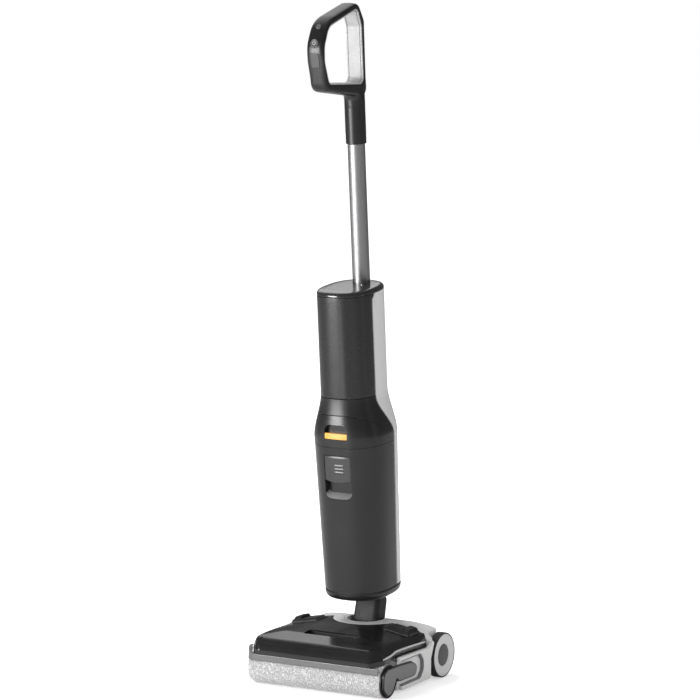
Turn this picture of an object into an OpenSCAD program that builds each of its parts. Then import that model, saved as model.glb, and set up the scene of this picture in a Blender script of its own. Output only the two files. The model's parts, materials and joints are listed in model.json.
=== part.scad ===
// Upright wet and dry floor washer: a head with a driven roller, a neck that
// leans and turns, an upright that carries two tanks, and a pole with a loop
// handle. Millimetres. The origin is on the floor, midway along the head;
// the roller is at the front (-Y), +Z is up.

/* [Head] */
// Distance over the two side panels
head_w = 262; // [250:1:275]
// Roller axis, ahead of the origin
roller_y = 88; // [84:0.5:92]
// Outer radius of the roller's plush
roller_r = 28; // [27:0.25:28.5]
// Thickness of the plush
plush_t = 6; // [4:0.5:7]
// Room at the right of the plush for the end cap and its lever
cap_room = 9; // [8:0.5:12]
// Height of the chassis floor above the ground
ground_gap = 7; // [5:0.5:9]
// Wall of the moulded head parts
head_wall = 2.6; // [2.2:0.1:3.2]

/* [Wheels] */
// Wheel axis, behind the origin
wheel_y = 89; // [87:0.5:91]
// Outer radius of the tyre
wheel_r = 37.5; // [36:0.25:38]
// Width of the tyre
tyre_w = 15; // [12:0.5:16]
// Radius of the wheel axle
axle_r = 4; // [3:0.25:5]

/* [Neck] */
// Neck pivot, behind the origin
pivot_y = 60; // [58:0.5:62]
// Neck pivot above the floor
pivot_z = 50; // [48:0.5:52]
// Forward lean of the upright when it is parked
lean = 4.4; // [3:0.1:6]
// Backward lean of the neck from the upright
neck_back = 20; // [16:0.5:22]
// Width of the neck column
neck_w = 46; // [40:1:50]
// Radius of the neck's hinge barrel
barrel_r = 19; // [17:0.5:20]

/* [Upright] */
// Height of the foot of the tanks along the upright
tank_foot = 103; // [101:0.5:105]
// Height where the dirty water tank meets its lid
lid_foot = 350; // [340:1:360]
// Height where the lid meets the collar
collar_foot = 403.5; // [398:0.5:409]
// Height where the collar meets the upper tube
tube_foot = 430.5; // [425:0.5:436]
// Height of the underside of the top cap
cap_foot = 598.5; // [584:0.5:614]
// Half width of the upright at its foot
foot_hx = 57; // [54:0.5:60]
// Half width of the upright at its widest
wide_hx = 62.5; // [60:0.5:64]
// Half width of the upper tube
tube_hx = 47; // [44:0.5:50]
// Wall of the upright's mouldings
wall = 2.4; // [2:0.1:3]

/* [Handle] */
// Outer radius of the pole
pole_r = 14.4; // [13.4:0.2:15]
// Wall of the pole
pole_wall = 1.2; // [1:0.1:2]
// Distance of the pole behind the upright's axis
pole_v = 31.5; // [30:0.5:33]
// Height of the lower edge of the handle's sleeve
sleeve_foot = 835.5; // [803.5:1:853.5]
// Width of the loop handle
loop_w = 30; // [26:0.5:32]
// Radius of the power button
power_r = 7; // [5:0.25:8]

/* [Hidden] */
$fn = 96;

clear = 0.3;                              // gap between pieces that move past each other
fit = 0.05;                               // running fit of a shaft in its bearing

// Head
panel_t = 7;
side_x = head_w / 2 - panel_t;            // inner face of a side panel
plush_x0 = -head_w / 2 + 7;               // the plush reaches almost to the left end
plush_x1 = head_w / 2 - cap_room;
core_r = roller_r - plush_t;
core_bore = core_r - 3.4;
motor_r = core_bore - 1.6;
motor_end = -52;
hub_af = 24;                              // across the corners of the hexagonal drive hub
hub_len = 18;
pin_r = 5;
cap_x = plush_x1 + 0.6;
lever_x = side_x + 1.1;
lever_t = head_w / 2 - 1 - lever_x;
cap_t = lever_x - 0.1 - cap_x;
tray_front = -50;
bay_back = -58;                           // rear wall of the roller's bay
tray_back = 54;
tray_top = 54;
leg_back = 112;
leg_top = 58;
deck_top = 92;                            // top of the head around the neck
deck_y = pivot_y + 6;                     // middle of the round deck
deck_r = 58;
slot_hx = neck_w / 2 + 1.5;               // half width of the slot the neck leans back into
bracket_t = 4.5;
hinge_pin_r = 6;
arch_r = wheel_r + 1.6;
tyre_x1 = head_w / 2 + 2;
tyre_x0 = tyre_x1 - tyre_w;
leg_x = tyre_x0 - 6;                      // half width of the rear housing's legs
rim_r = 35.2;
guard_r = roller_r + 2.2;                 // inner radius of the guards around the roller
guard_t = 2.2;
lip_y = -roller_y - 30;                   // front lip of the cover
lip_z = roller_r + 25.5;
crest_y = -roller_y - 16;
crest_z = roller_r + 52;
cover_hx = side_x - 3;
cover_back = 50;                          // rear edge of the cover at its sides
cover_fall = 2.5;                         // the cover's side edges fall towards the back
edge_z = 70.5;                            // height of those edges beside the roller's bay
scoop_hx = 46;                            // finger scoop in the cover
scoop_y = -57;
scoop_z = 93.3;
scoop_r = 11;
button_x0 = cover_hx - 59;
button_x1 = cover_hx - 9;
button_front = 5;
button_back = 45;
button_rise = 2.5;                        // the buttons stand this far above the cover
comb_hx = side_x - 16;
bar_hx = side_x - 24;
bar_y = tray_front + 6;
bar_z = tray_top + 5;
mouth_hx = side_x - 38;                   // half width of the suction mouth
caster_r = 5;
caster_pin_r = 1.3;
caster_x = side_x - 28;
caster_y = tray_front + 4;

// Upright
foot_vf = -66;
foot_vr = 64;
wide_vf = -76;
tube_vf = -69;
tube_vr = 57;
wide_w = lid_foot + 15;
split_low = 13;                           // where the front and rear shells meet, low down
split_high = -17;                         // and beside the upper tube
split_gap = 0.5;
seam = 0.4;
base_foot = tank_foot - 16;
base_top = tank_foot - 2.4;
opening_hx = 40;                          // rear opening for the clean water tank
opening_w0 = tank_foot + 16;
opening_w1 = wide_w + 13;
finger_hx = 22;                           // finger pocket of the clean water tank
finger_v = 49;
finger_w0 = opening_w1 - 44;
finger_w1 = opening_w1 - 18;
swivel_s = 80;                            // height of the swivel plane along the neck
post_r = 15;
boss_r = 26;
motor_v = -22;
motor_w0 = tube_foot + 4;
motor_w1 = motor_w0 + 57;
motor_can_r = 31;
fan_r = 29;
cell_r = 9.1;                             // battery cells
cell_len = 65;
cell_pitch = 19;
cell_v = 21.5;
cell_w0 = tube_foot + 5;
board_hx = 32;                            // main board
board_v = -50;
board_t = 1.6;
board_w0 = tube_foot + 83;
board_w1 = cap_foot - 5;
socket_foot = cap_foot - 89;
pole_foot = socket_foot + 4;
pole_top = sleeve_foot + 60;
cap_t_top = 8;
grip_hx = 27;
grip_w0 = lid_foot - 99;
grip_w1 = lid_foot - 13;
grip_v = -59;
release_w0 = grip_w1 - 46;
catch_hx = 21;
catch_w0 = lid_foot + 14;
catch_w1 = lid_foot + 38;
catch_v = -64;
catch_h = 10;
pipe_r = 11;
pipe_v = -22;
pipe_top = lid_foot - 25;
float_w0 = tank_foot + 38;
float_h = 22;
filter_w0 = lid_foot + 9;
filter_v = -37;
filter_r = 23;
lid_wall = wall + 1.2;
lock_v = pole_v - 22;
lock_x = 14;

// Handle
sleeve_r = pole_r + 2.5;
loop_foot = sleeve_foot + 62;             // where the loop grows out of the sleeve
loop_outer = [
    [pole_v - 13, loop_foot, 2], [pole_v - 16.5, loop_foot + 14, 13], [-10, loop_foot + 23, 13],
    [-84, loop_foot + 38.5, 18], [-94.5, loop_foot + 112.5, 40], [-70, loop_foot + 152.5, 50],
    [31, loop_foot + 170, 17], [49.5, loop_foot + 138, 20], [48.5, loop_foot + 56, 30],
    [pole_v + 16.4, loop_foot, 2]
];
loop_inner = [
    [27, loop_foot + 36, 12], [-74, loop_foot + 49.5, 12], [-86, loop_foot + 87.5, 30],
    [-84.5, loop_foot + 112.5, 30], [-68, loop_foot + 142.5, 25], [27, loop_foot + 160.5, 13],
    [38.8, loop_foot + 129.5, 13], [38.8, loop_foot + 38, 12]
];
loop_wall = 2.4;
lining_t = 2.2;
power_tilt = 20;                          // each key leans back with the surface round it
power_v = -91.3;
power_w = loop_foot + 117.8;
mode_tilt = 44;
mode_v = -75.7;
mode_w = loop_foot + 142.4;
mode_r = 4.5;
strip_tilt = 8.1;                         // the front bar leans forward below the keys
strip_l0 = 40;
strip_l1 = 63.5;

// ---- helpers ----

// Draws a (Y, Z) outline and carries it along X.
module along_x(x0, x1) {
    translate([x0, 0, 0]) rotate([90, 0, 90]) linear_extrude(x1 - x0) children();
}

// A rod along X at (y, z).
module rod_x(x0, x1, y, z, r) {
    translate([x0, y, z]) rotate([0, 90, 0]) cylinder(h = x1 - x0, r = r);
}

// A tube along X at (y, z).
module tube_x(x0, x1, y, z, r_out, r_in) {
    difference() {
        rod_x(x0, x1, y, z, r_out);
        rod_x(x0 - 1, x1 + 1, y, z, r_in);
    }
}

module mirror_x() {
    children();
    mirror([1, 0, 0]) children();
}

module block(x0, x1, y0, y1, z0, z1) {
    translate([x0, y0, z0]) cube([x1 - x0, y1 - y0, z1 - z0]);
}

// Puts children in the upright's frame: x across, y behind, z along it.
module upright() {
    translate([0, pivot_y, pivot_z]) rotate([lean, 0, 0]) children();
}

// Puts children in the neck's frame, which leans further back.
module neck() {
    upright() rotate([-neck_back, 0, 0]) children();
}

function signed_power(value, power) = sign(value) * pow(abs(value), power);

// Rounded section of the upright: half width, front, rear.
function section_points(hx, vf, vr, n = 2.5, count = 56) = [
    for (i = [0:count - 1])
        let (t = i * 360 / count)
        [hx * signed_power(cos(t), 2 / n), (vf + vr) / 2 + (vr - vf) / 2 * signed_power(sin(t), 2 / n)]
];

module section(hx, vf, vr) {
    polygon(section_points(hx, vf, vr));
}

// A solid that changes evenly from one section to another.
module loft(w0, s0, w1, s1) {
    hull() {
        translate([0, 0, w0]) linear_extrude(0.01) section(s0[0], s0[1], s0[2]);
        translate([0, 0, w1 - 0.01]) linear_extrude(0.01) section(s1[0], s1[1], s1[2]);
    }
}

function foot_section(inset) = [foot_hx - inset, foot_vf + inset, foot_vr - inset];
function wide_section(inset) = [wide_hx - inset, wide_vf + inset, foot_vr - inset];
function tube_section(inset) = [tube_hx - inset, tube_vf + inset, tube_vr - inset];

// Outside of the upright, drawn in by an inset.
module body_low(inset) {
    loft(tank_foot, foot_section(inset), wide_w, wide_section(inset));
}

module body_flare(inset) {
    loft(wide_w, wide_section(inset), tube_foot, tube_section(inset));
}

module body_high(inset) {
    translate([0, 0, tube_foot]) linear_extrude(cap_foot - tube_foot)
        section(tube_hx - inset, tube_vf + inset, tube_vr - inset);
}

// Inside of the upper tube, run past both of its ends.
module tube_bore() {
    translate([0, 0, tube_foot - 1]) linear_extrude(cap_foot - tube_foot + 2)
        section(tube_hx - wall, tube_vf + wall, tube_vr - wall);
}

// The part of space ahead of the split between the shells.
module front_zone(w0, w1, gap) {
    intersection() {
        along_x(-90, 90) polygon([
            [-120, 0], [split_low - gap, 0], [split_low - gap, wide_w], [split_high - gap, tube_foot - 7],
            [split_high - gap, cap_foot + 50], [-120, cap_foot + 50]
        ]);
        block(-90, 90, -120, 90, w0, w1);
    }
}

module rear_zone(w0, w1, gap) {
    intersection() {
        along_x(-90, 90) polygon([
            [120, 0], [split_low + gap, 0], [split_low + gap, wide_w], [split_high + gap, tube_foot - 7],
            [split_high + gap, cap_foot + 50], [120, cap_foot + 50]
        ]);
        block(-90, 90, -90, 120, w0, w1);
    }
}

// Points of an outline whose corners [x, y, radius] are rounded.
function rounded(corners, steps = 8) = [
    for (i = [0:len(corners) - 1])
        let (
            p = [corners[i][0], corners[i][1]],
            before = corners[(i + len(corners) - 1) % len(corners)],
            after = corners[(i + 1) % len(corners)],
            a = [before[0], before[1]] - p,
            b = [after[0], after[1]] - p,
            ua = a / norm(a),
            ub = b / norm(b),
            half = acos(max(-1, min(1, ua * ub))) / 2,
            r = corners[i][2],
            cut = r / tan(half),
            mid = (ua + ub) / norm(ua + ub),
            centre = p + mid * r / sin(half),
            start = p + ua * cut - centre,
            end = p + ub * cut - centre,
            t0 = atan2(start[1], start[0]),
            turn = atan2(end[1], end[0]) - t0,
            sweep = turn > 180 ? turn - 360 : turn < -180 ? turn + 360 : turn
        )
        for (k = [0:steps]) centre + r * [cos(t0 + sweep * k / steps), sin(t0 + sweep * k / steps)]
];

// ---- head ----

module wheel_arches() {
    mirror_x() rod_x(tyre_x0 - 2, tyre_x1 + 20, wheel_y, wheel_r, arch_r);
}

module neck_slot(y0) {
    block(-slot_hx, slot_hx, y0, leg_back + 10, -1, deck_top + 10);
}

module chassis() {
    color("white") {
        difference() {
            union() {
                difference() {
                    block(-side_x, side_x, tray_front, tray_back, ground_gap, tray_top);
                    block(-side_x + head_wall, side_x - head_wall, tray_front + head_wall,
                        tray_back - head_wall, ground_gap + head_wall, tray_top + 1);
                }
                // hollowed wall behind the roller
                difference() {
                    block(-side_x, side_x, bay_back, tray_front + 1, ground_gap, tray_top);
                    rod_x(-side_x - 1, side_x + 1, -roller_y, roller_r, guard_r);
                }
                // ledges that the cover's end walls stand on
                mirror_x() block(cover_hx - 10, side_x, tray_front, tray_back, tray_top - 4, tray_top);
                // left arm that holds the roller's motor
                along_x(-head_w / 2, -head_w / 2 + 5.5) polygon(rounded([
                    [tray_front + 10, ground_gap, 2], [-roller_y - 5, ground_gap, 6],
                    [-roller_y - 12, roller_r, 14], [-roller_y - 3, 50, 12], [tray_front + 10, 53, 2]
                ]));
                block(-head_w / 2, -side_x + 1, tray_front, tray_front + 9.5, ground_gap, 53);
                // brackets that hold the neck's hinge pins
                mirror_x() along_x(slot_hx, slot_hx + bracket_t) polygon(rounded([
                    [pivot_y - 36, ground_gap, 1], [pivot_y + 22, ground_gap, 3],
                    [pivot_y + 22, pivot_z + 10, 12], [pivot_y - 10, pivot_z + 14, 8],
                    [pivot_y - 36, pivot_z, 6]
                ]));
                // rear legs that carry the wheels
                mirror_x() difference() {
                    block(slot_hx, leg_x, tray_back - 1, leg_back - 4, ground_gap + 3, 40);
                    block(slot_hx + bracket_t, leg_x - head_wall, tray_back - 2, leg_back - 4 - head_wall,
                        ground_gap + 3 + head_wall, 41);
                }
            }
            block(-mouth_hx + 2, mouth_hx - 2, tray_front + 4.6, tray_front + 12, -1, ground_gap + 6);
            neck_slot(pivot_y - barrel_r - 1.5);
            wheel_arches();
            mirror_x() rod_x(slot_hx - 1, leg_x + 1, wheel_y, wheel_r, axle_r + fit);
            mirror_x() rod_x(slot_hx - 1, slot_hx + bracket_t + 1, pivot_y, pivot_z, hinge_pin_r);
            mirror_x() rod_x(slot_hx + bracket_t, slot_hx + bracket_t + 2 + clear, pivot_y, pivot_z,
                hinge_pin_r + 2.5 + clear);
            mirror_x() block(caster_x - 6, caster_x + 6, caster_y - 8, caster_y + 8, -1, ground_gap + 5);
        }
        // closing wall at the front of the neck slot
        block(-slot_hx - 1, slot_hx + 1, pivot_y - barrel_r - 4, pivot_y - barrel_r - 1.5, ground_gap, 46);
        mirror_x() for (x = [caster_x - 7.5, caster_x + 5.5])
            difference() {
                block(x, x + 2, caster_y - 8, caster_y + 8, caster_r - 2.5, ground_gap + 6);
                rod_x(x - 1, x + 3, caster_y, caster_r + 0.6, caster_pin_r + fit);
            }
    }
}

module base_plate() {
    color("dimgray") difference() {
        block(-side_x + 8, side_x - 8, tray_front + 16.5, tray_back - 6, ground_gap - 2, ground_gap);
        mirror_x() block(caster_x - 9, caster_x + 9, caster_y - 9, caster_y + 12, 0, ground_gap + 1);
        neck_slot(pivot_y - barrel_r - 5);
        for (x = [-70, 0, 70], y = [-26, 30]) translate([x, y, 0])
            cylinder(h = ground_gap - 1, r = 3, $fn = 32);
    }
}

// Seen from above: the round deck, and the part behind the cover.
module housing_plan(inset) {
    translate([0, deck_y, 0]) cylinder(h = 120, r = deck_r - inset);
    linear_extrude(120) polygon(rounded([
        [-side_x + inset, cover_back + 0.4 + inset, 2], [-96, cover_back + 4 + inset, 12],
        [96, cover_back + 4 + inset, 12], [side_x - inset, cover_back + 0.4 + inset, 2],
        [side_x - inset, 66, 6], [leg_x - inset, 72, 4], [leg_x - inset, leg_back - inset, 16],
        [-leg_x + inset, leg_back - inset, 16], [-leg_x + inset, 72, 4], [-side_x + inset, 66, 6]
    ]));
}

// Seen from the side, drawn in by an inset and lengthened downwards by a drop.
module housing_side(inset, drop) {
    along_x(-side_x, side_x) polygon(rounded([
        [0, tray_top - drop, 0.5], [0, deck_top - inset, 1], [deck_y, deck_top - inset, 50],
        [96, deck_top - 5 - inset, 18], [leg_back - inset, 66 - inset, 12],
        [leg_back - inset, 40 - drop, 1], [tray_back - drop, 40 - drop, 1],
        [tray_back - drop, tray_top - drop, 0.01]
    ]));
}

module rear_housing() {
    color("white") difference() {
        intersection() {
            housing_side(0, 0);
            housing_plan(0);
            crown(0, side_x);
        }
        intersection() {
            housing_side(head_wall, 2);
            housing_plan(head_wall);
            crown(head_wall, side_x);
        }
        neck_slot(pivot_y - barrel_r - 1.5);
        mirror_x() block(slot_hx - 1, slot_hx + bracket_t + clear, tray_back - 40, 90, 30, 69);
        wheel_arches();
        mirror_x() rod_x(leg_x - 24, leg_x + 1, wheel_y, wheel_r, axle_r + 0.5);
        translate([0, pivot_y, deck_top - 20]) cylinder(h = 60, r = 36 - clear);
    }
}

// White ring on the deck around the neck, open behind where the neck leans back.
module neck_ring() {
    color("whitesmoke") difference() {
        translate([0, pivot_y, deck_top - 9]) cylinder(h = 9, r = 36 - 2 * clear);
        translate([0, pivot_y, deck_top - 20]) cylinder(h = 30, r = 31);
        block(-40, 40, pivot_y + 14, 140, 50, deck_top + 10);
    }
}

// White cheek over one end of the tray.
module panel_outline() {
    polygon(rounded([
        [-54, ground_gap, 5], [47, ground_gap, 4], [47, 40, 4], [58, 64, 2.5], [53, 70.5, 3],
        [48, 64, 3], [40, 59.5, 6], [-61, 62.6, 3]
    ]));
}

module side_panel_left() {
    color("white") difference() {
        along_x(-head_w / 2, -side_x) panel_outline();
        wheel_arches();
        block(-head_w, 0, -70, tray_front + 11, -1, 53.3);
    }
}

// Right cheek, with a bay for the roller's lever that is open to the front.
module side_panel_right() {
    color("white") difference() {
        along_x(side_x, head_w / 2) panel_outline();
        along_x(side_x + 0.8, head_w) polygon(rounded([
            [-90, 14, 1], [10, 14, 12], [21.5, 27, 14], [21.5, 43, 14], [10, 57, 12], [-90, 57, 1]
        ]));
        wheel_arches();
        // the roller passes here when it is drawn out
        rod_x(0, head_w, -roller_y, roller_r, roller_r + 1);
    }
}

module hinge_pins() {
    color("silver") mirror_x() {
        rod_x(neck_w / 2 - 12, slot_hx + bracket_t, pivot_y, pivot_z, hinge_pin_r);
        rod_x(slot_hx + bracket_t, slot_hx + bracket_t + 2, pivot_y, pivot_z, hinge_pin_r + 2.5);
    }
}

// Wide mouth behind the roller that narrows to the neck.
module suction_duct() {
    color("gray") difference() {
        union() {
            block(-mouth_hx, mouth_hx, tray_front + head_wall, tray_front + 16, ground_gap + head_wall, 26);
            hull() {
                block(-60, 60, tray_front + 15, tray_front + 16, ground_gap + head_wall, 26);
                block(-15, 15, 18, 20, 20, 44);
            }
            block(-15, 15, 19, pivot_y - barrel_r - 4, 20, 44);
        }
        block(-mouth_hx + 2, mouth_hx - 2, tray_front + 4.6, tray_front + 14, ground_gap, 24);
        hull() {
            block(-58, 58, tray_front + 13, tray_front + 14, ground_gap + head_wall + 2, 24);
            block(-13, 13, 19, 20, 22, 42);
        }
        block(-13, 13, 19, pivot_y, 22, 42);
    }
}

// Comb that strips water and hair off the plush.
module scraper_comb() {
    color("slategray") {
        block(-comb_hx, comb_hx, bay_back - 3.5, bay_back, roller_r + 16, roller_r + 20);
        for (x = [-comb_hx + 4:8:comb_hx - 4])
            block(x - 0.8, x + 0.8, bay_back - 7.4, bay_back - 3, roller_r + 17, roller_r + 19);
    }
}

module squeegee() {
    color("black") block(-comb_hx - 2, comb_hx + 2, tray_front + 13, tray_front + 15.5, 1, ground_gap);
}

// Water pipe along the roller with a row of small jets.
module spray_bar() {
    color("lightblue") {
        rod_x(-bar_hx, bar_hx, bar_y, bar_z, 3);
        for (x = [-bar_hx + 10:20:bar_hx - 10])
            translate([x, bar_y, bar_z]) rotate([115, 0, 0]) cylinder(h = 5, r1 = 2, r2 = 1, $fn = 24);
        mirror_x() block(cover_hx - 14, cover_hx - 10, bar_y - 2, bar_y + 2, tray_top, bar_z);
        mirror_x() rod_x(bar_hx - 1, cover_hx - 12, bar_y, bar_z, 1.5);
    }
}

module brush_motor() {
    color("dimgray") {
        rod_x(-head_w / 2 + 5.5, motor_end, -roller_y, roller_r, motor_r);
        rod_x(motor_end, motor_end + 4, -roller_y, roller_r, 4);
    }
}

module wheel_axles() {
    color("silver") mirror_x() {
        rod_x(leg_x - 20, tyre_x1 - 3, wheel_y, wheel_r, axle_r);
        rod_x(tyre_x1 - 3, tyre_x1 - 2, wheel_y, wheel_r, axle_r + 1.5);
    }
}

module charge_contacts() {
    color("gold") mirror_x() for (x = [40, 54]) translate([x, leg_back - 4, 20]) rotate([-90, 0, 0])
        cylinder(h = 1.2, r = 4, $fn = 48);
}

module drive_hub() {
    color("orange") difference() {
        translate([motor_end + clear, -roller_y, roller_r]) rotate([0, 90, 0])
            cylinder(h = hub_len, r = hub_af / 2, $fn = 6);
        rod_x(motor_end - 1, motor_end + 4 + clear, -roller_y, roller_r, 4 + fit);
    }
}

module roller_core() {
    color("gray") difference() {
        union() {
            tube_x(plush_x0 + 0.5, plush_x1, -roller_y, roller_r, core_r, core_bore);
            tube_x(motor_end + 4, motor_end + 16, -roller_y, roller_r, core_bore + 0.01, 1);
            tube_x(plush_x1 - 14, plush_x1, -roller_y, roller_r, core_bore + 0.01, pin_r + fit);
        }
        translate([motor_end + 3, -roller_y, roller_r]) rotate([0, 90, 0])
            cylinder(h = 14, r = hub_af / 2 + clear * 1.5, $fn = 6);
    }
}

module roller_plush() {
    color("gainsboro") tube_x(plush_x0, plush_x1, -roller_y, roller_r, roller_r, core_r);
}

module roller_cap() {
    color("dimgray") {
        rod_x(cap_x, cap_x + cap_t, -roller_y, roller_r, roller_r - 0.8);
        rod_x(plush_x1 - 14, cap_x, -roller_y, roller_r, pin_r);
    }
}

// Flat lever that turns the cap's catch and is the grip to draw the roller out.
module roller_lever() {
    color("gray") {
        along_x(lever_x, lever_x + lever_t) translate([-roller_y, roller_r]) polygon(rounded([
            [-24, -10, 12], [-23, 16, 12], [-10, 23, 8], [28, 22.5, 10], [72, 20, 8], [91, 10, 8],
            [86, -6, 8], [34, -5.5, 3], [26, -4.5, 1], [20, 3, 3], [15, -6.3, 4], [8.5, -15, 6],
            [0, -23, 6], [-11.6, -22, 8]
        ]));
        rod_x(cap_x + cap_t, lever_x, -roller_y, roller_r, 14);
    }
}

// The crowned top of the cover and the deck, seen from the front and drawn in by an inset.
module crown(inset, hx) {
    rotate([-cover_fall, 0, 0]) translate([0, 180, 0]) rotate([90, 0, 0]) linear_extrude(360)
        polygon(rounded([
            [-hx + inset, 10, 1], [-hx + inset, edge_z - inset / 2, 1.5], [-hx + 5, edge_z + 5.5 - inset, 4],
            [-62, 91.5 - inset, 90], [0, 101 - inset, 60], [62, 91.5 - inset, 90],
            [hx - 5, edge_z + 5.5 - inset, 4], [hx - inset, edge_z - inset / 2, 1.5], [hx - inset, 10, 1]
        ]));
}

module cover_solid(inset) {
    intersection() {
        along_x(-cover_hx, cover_hx) polygon(rounded([
            [lip_y + inset, 20, 1], [lip_y + inset, lip_z + 12, 10], [crest_y, crest_z - inset, 9],
            [-66, crest_z + 6 - inset, 60], [8, deck_top - inset, 60],
            [cover_back + 8, deck_top - inset, 1], [cover_back + 8, 20, 1]
        ]));
        linear_extrude(120) polygon(rounded([
            [-cover_hx + inset, cover_back - inset, 5], [-cover_hx + inset, crest_y, 14],
            [-cover_hx + 13 + inset, lip_y + inset, 14], [cover_hx - 17 - inset, lip_y + inset, 14],
            [cover_hx - inset, crest_y + 8, 16], [cover_hx - inset, cover_back - inset, 5],
            [96, cover_back + 3.6 - inset, 12], [-96, cover_back + 3.6 - inset, 12]
        ]));
        crown(inset, cover_hx);
    }
}

// Glossy cover over the roller; a shallow scoop in its top is the finger grip.
module head_cover() {
    color("darkslategray") difference() {
        union() {
            difference() {
                cover_solid(0);
                difference() {
                    cover_solid(head_wall);
                    translate([0, deck_y, 0]) cylinder(h = 120, r = deck_r + clear + head_wall);
                }
                // lower edge, highest beside the roller's bay
                along_x(-head_w, head_w) polygon([
                    [lip_y - 5, 0], [lip_y - 5, lip_z], [lip_y + 6, lip_z + 1], [crest_y, 60],
                    [-80, 66.5], [-45, 64.2], [-11, 63.2], [cover_back + 20, 59.4], [cover_back + 20, 0]
                ]);
            }
            intersection() {
                cover_solid(0);
                rod_x(-scoop_hx - 2.4, scoop_hx + 2.4, scoop_y, scoop_z, scoop_r + 2.4);
            }
            // end walls that reach down to the tray
            mirror_x() along_x(cover_hx - 8, cover_hx - 5.5) polygon([
                [-70, 77.6], [46, 72.8], [46, tray_top], [tray_front, tray_top],
                [tray_front - 8, tray_top + 8]
            ]);
        }
        translate([0, deck_y, 0]) cylinder(h = 120, r = deck_r + clear);
        rod_x(-scoop_hx, scoop_hx, scoop_y, scoop_z, scoop_r);
        // wells of the two release buttons
        mirror_x() block(button_x0 - clear, button_x1 + clear, button_front - clear,
            button_back + clear, tray_top + 5, deck_top + 10);
    }
}

// Clear strip that keeps the spray in, held behind the cover's lip.
module splash_strip() {
    color("silver", 0.6) {
        along_x(-side_x - 3, side_x - 3) polygon([
            [lip_y + 1, lip_z - 11], [lip_y + 0.4, lip_z - clear], [lip_y + 5, lip_z - clear],
            [lip_y + 3.4, lip_z - 11]
        ]);
        // tongue that stands behind the lip
        along_x(-cover_hx + 21, cover_hx - 26) polygon([
            [lip_y + 3, lip_z - 1], [lip_y + 3.4, lip_z + 8], [lip_y + 5.4, lip_z + 8], [lip_y + 5, lip_z - 1]
        ]);
        // end that wraps round the left of the plush
        along_x(-side_x - 3, -side_x - 1) polygon([
            [lip_y + 2, lip_z - 10], [lip_y + 1.6, lip_z + 8], [lip_y + 5, lip_z + 13],
            [lip_y + 10, lip_z + 13], [lip_y + 12, lip_z + 9], [lip_y + 12, lip_z - 3]
        ]);
    }
}

// Button with a raised rib at its outer end.
module cover_button() {
    intersection() {
        block(button_x0, button_x1, button_front, button_back, tray_top + 10, deck_top + 10);
        translate([0, 0, button_rise]) crown(0, cover_hx);
    }
    block(button_x1 - 14, button_x1, button_front + 6, button_back - 8, tray_top + 10, edge_z + 13);
    block(button_x0 + 6, button_x1 - 6, button_front + 8, button_front + 20, tray_top + 6, tray_top + 10);
}

module cover_button_left() { color("dimgray") mirror([1, 0, 0]) cover_button(); }
module cover_button_right() { color("dimgray") cover_button(); }

module tyre() {
    rotate_extrude($fn = 128) polygon([
        [rim_r, 0], [wheel_r - 1.5, 0], [wheel_r, 1.5], [wheel_r, tyre_w - 2], [wheel_r - 2, tyre_w],
        [rim_r, tyre_w]
    ]);
}

module rim() {
    rotate_extrude($fn = 128) polygon([
        [axle_r + fit, 1], [11, 1], [11, 5], [rim_r, 5], [rim_r, tyre_w], [rim_r - 2, tyre_w - 1],
        [24, tyre_w - 1.6], [18.5, tyre_w - 2.4], [18, tyre_w - 3], [axle_r + 2, tyre_w - 3],
        [axle_r + 2, tyre_w - 3.4],
        [axle_r + fit, tyre_w - 3.4]
    ]);
}

module on_right_axle() {
    translate([tyre_x0, wheel_y, wheel_r]) rotate([0, 90, 0]) children();
}

module tyre_right() { color("black") on_right_axle() tyre(); }
module rim_right() { color("lightgray") on_right_axle() rim(); }
module tyre_left() { color("black") mirror([1, 0, 0]) on_right_axle() tyre(); }
module rim_left() { color("lightgray") mirror([1, 0, 0]) on_right_axle() rim(); }

module under_roller() {
    rod_x(caster_x - 5, caster_x + 5, caster_y, caster_r + 0.6, caster_r);
    rod_x(caster_x - 7.5, caster_x + 7.5, caster_y, caster_r + 0.6, caster_pin_r);
}

module under_roller_right() { color("black") under_roller(); }
module under_roller_left() { color("black") mirror([1, 0, 0]) under_roller(); }

// ---- neck ----

module neck_column() {
    color("dimgray") neck() difference() {
        union() {
            rod_x(-neck_w / 2, neck_w / 2, 0, 0, barrel_r);
            translate([-neck_w / 2, -barrel_r + 1, 0]) cube([neck_w, 2 * barrel_r, swivel_s - clear]);
            cylinder(h = swivel_s + 15, r = post_r);
            translate([0, 0, swivel_s + 12]) cylinder(h = 3, r = post_r + 3);
        }
        cylinder(h = swivel_s + 40, r = 10.3);
        mirror_x() rod_x(neck_w / 2 - 12 - clear, neck_w, 0, 0, hinge_pin_r + fit);
        rotate([90, 0, 0]) cylinder(h = 40, r = 10.3);
    }
}

module neck_hose() {
    color("gray") neck() difference() {
        translate([0, 0, 6]) cylinder(h = swivel_s + 8, r = 10.2);
        cylinder(h = swivel_s + 40, r = 8.4);
    }
}

// ---- upright ----

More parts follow.
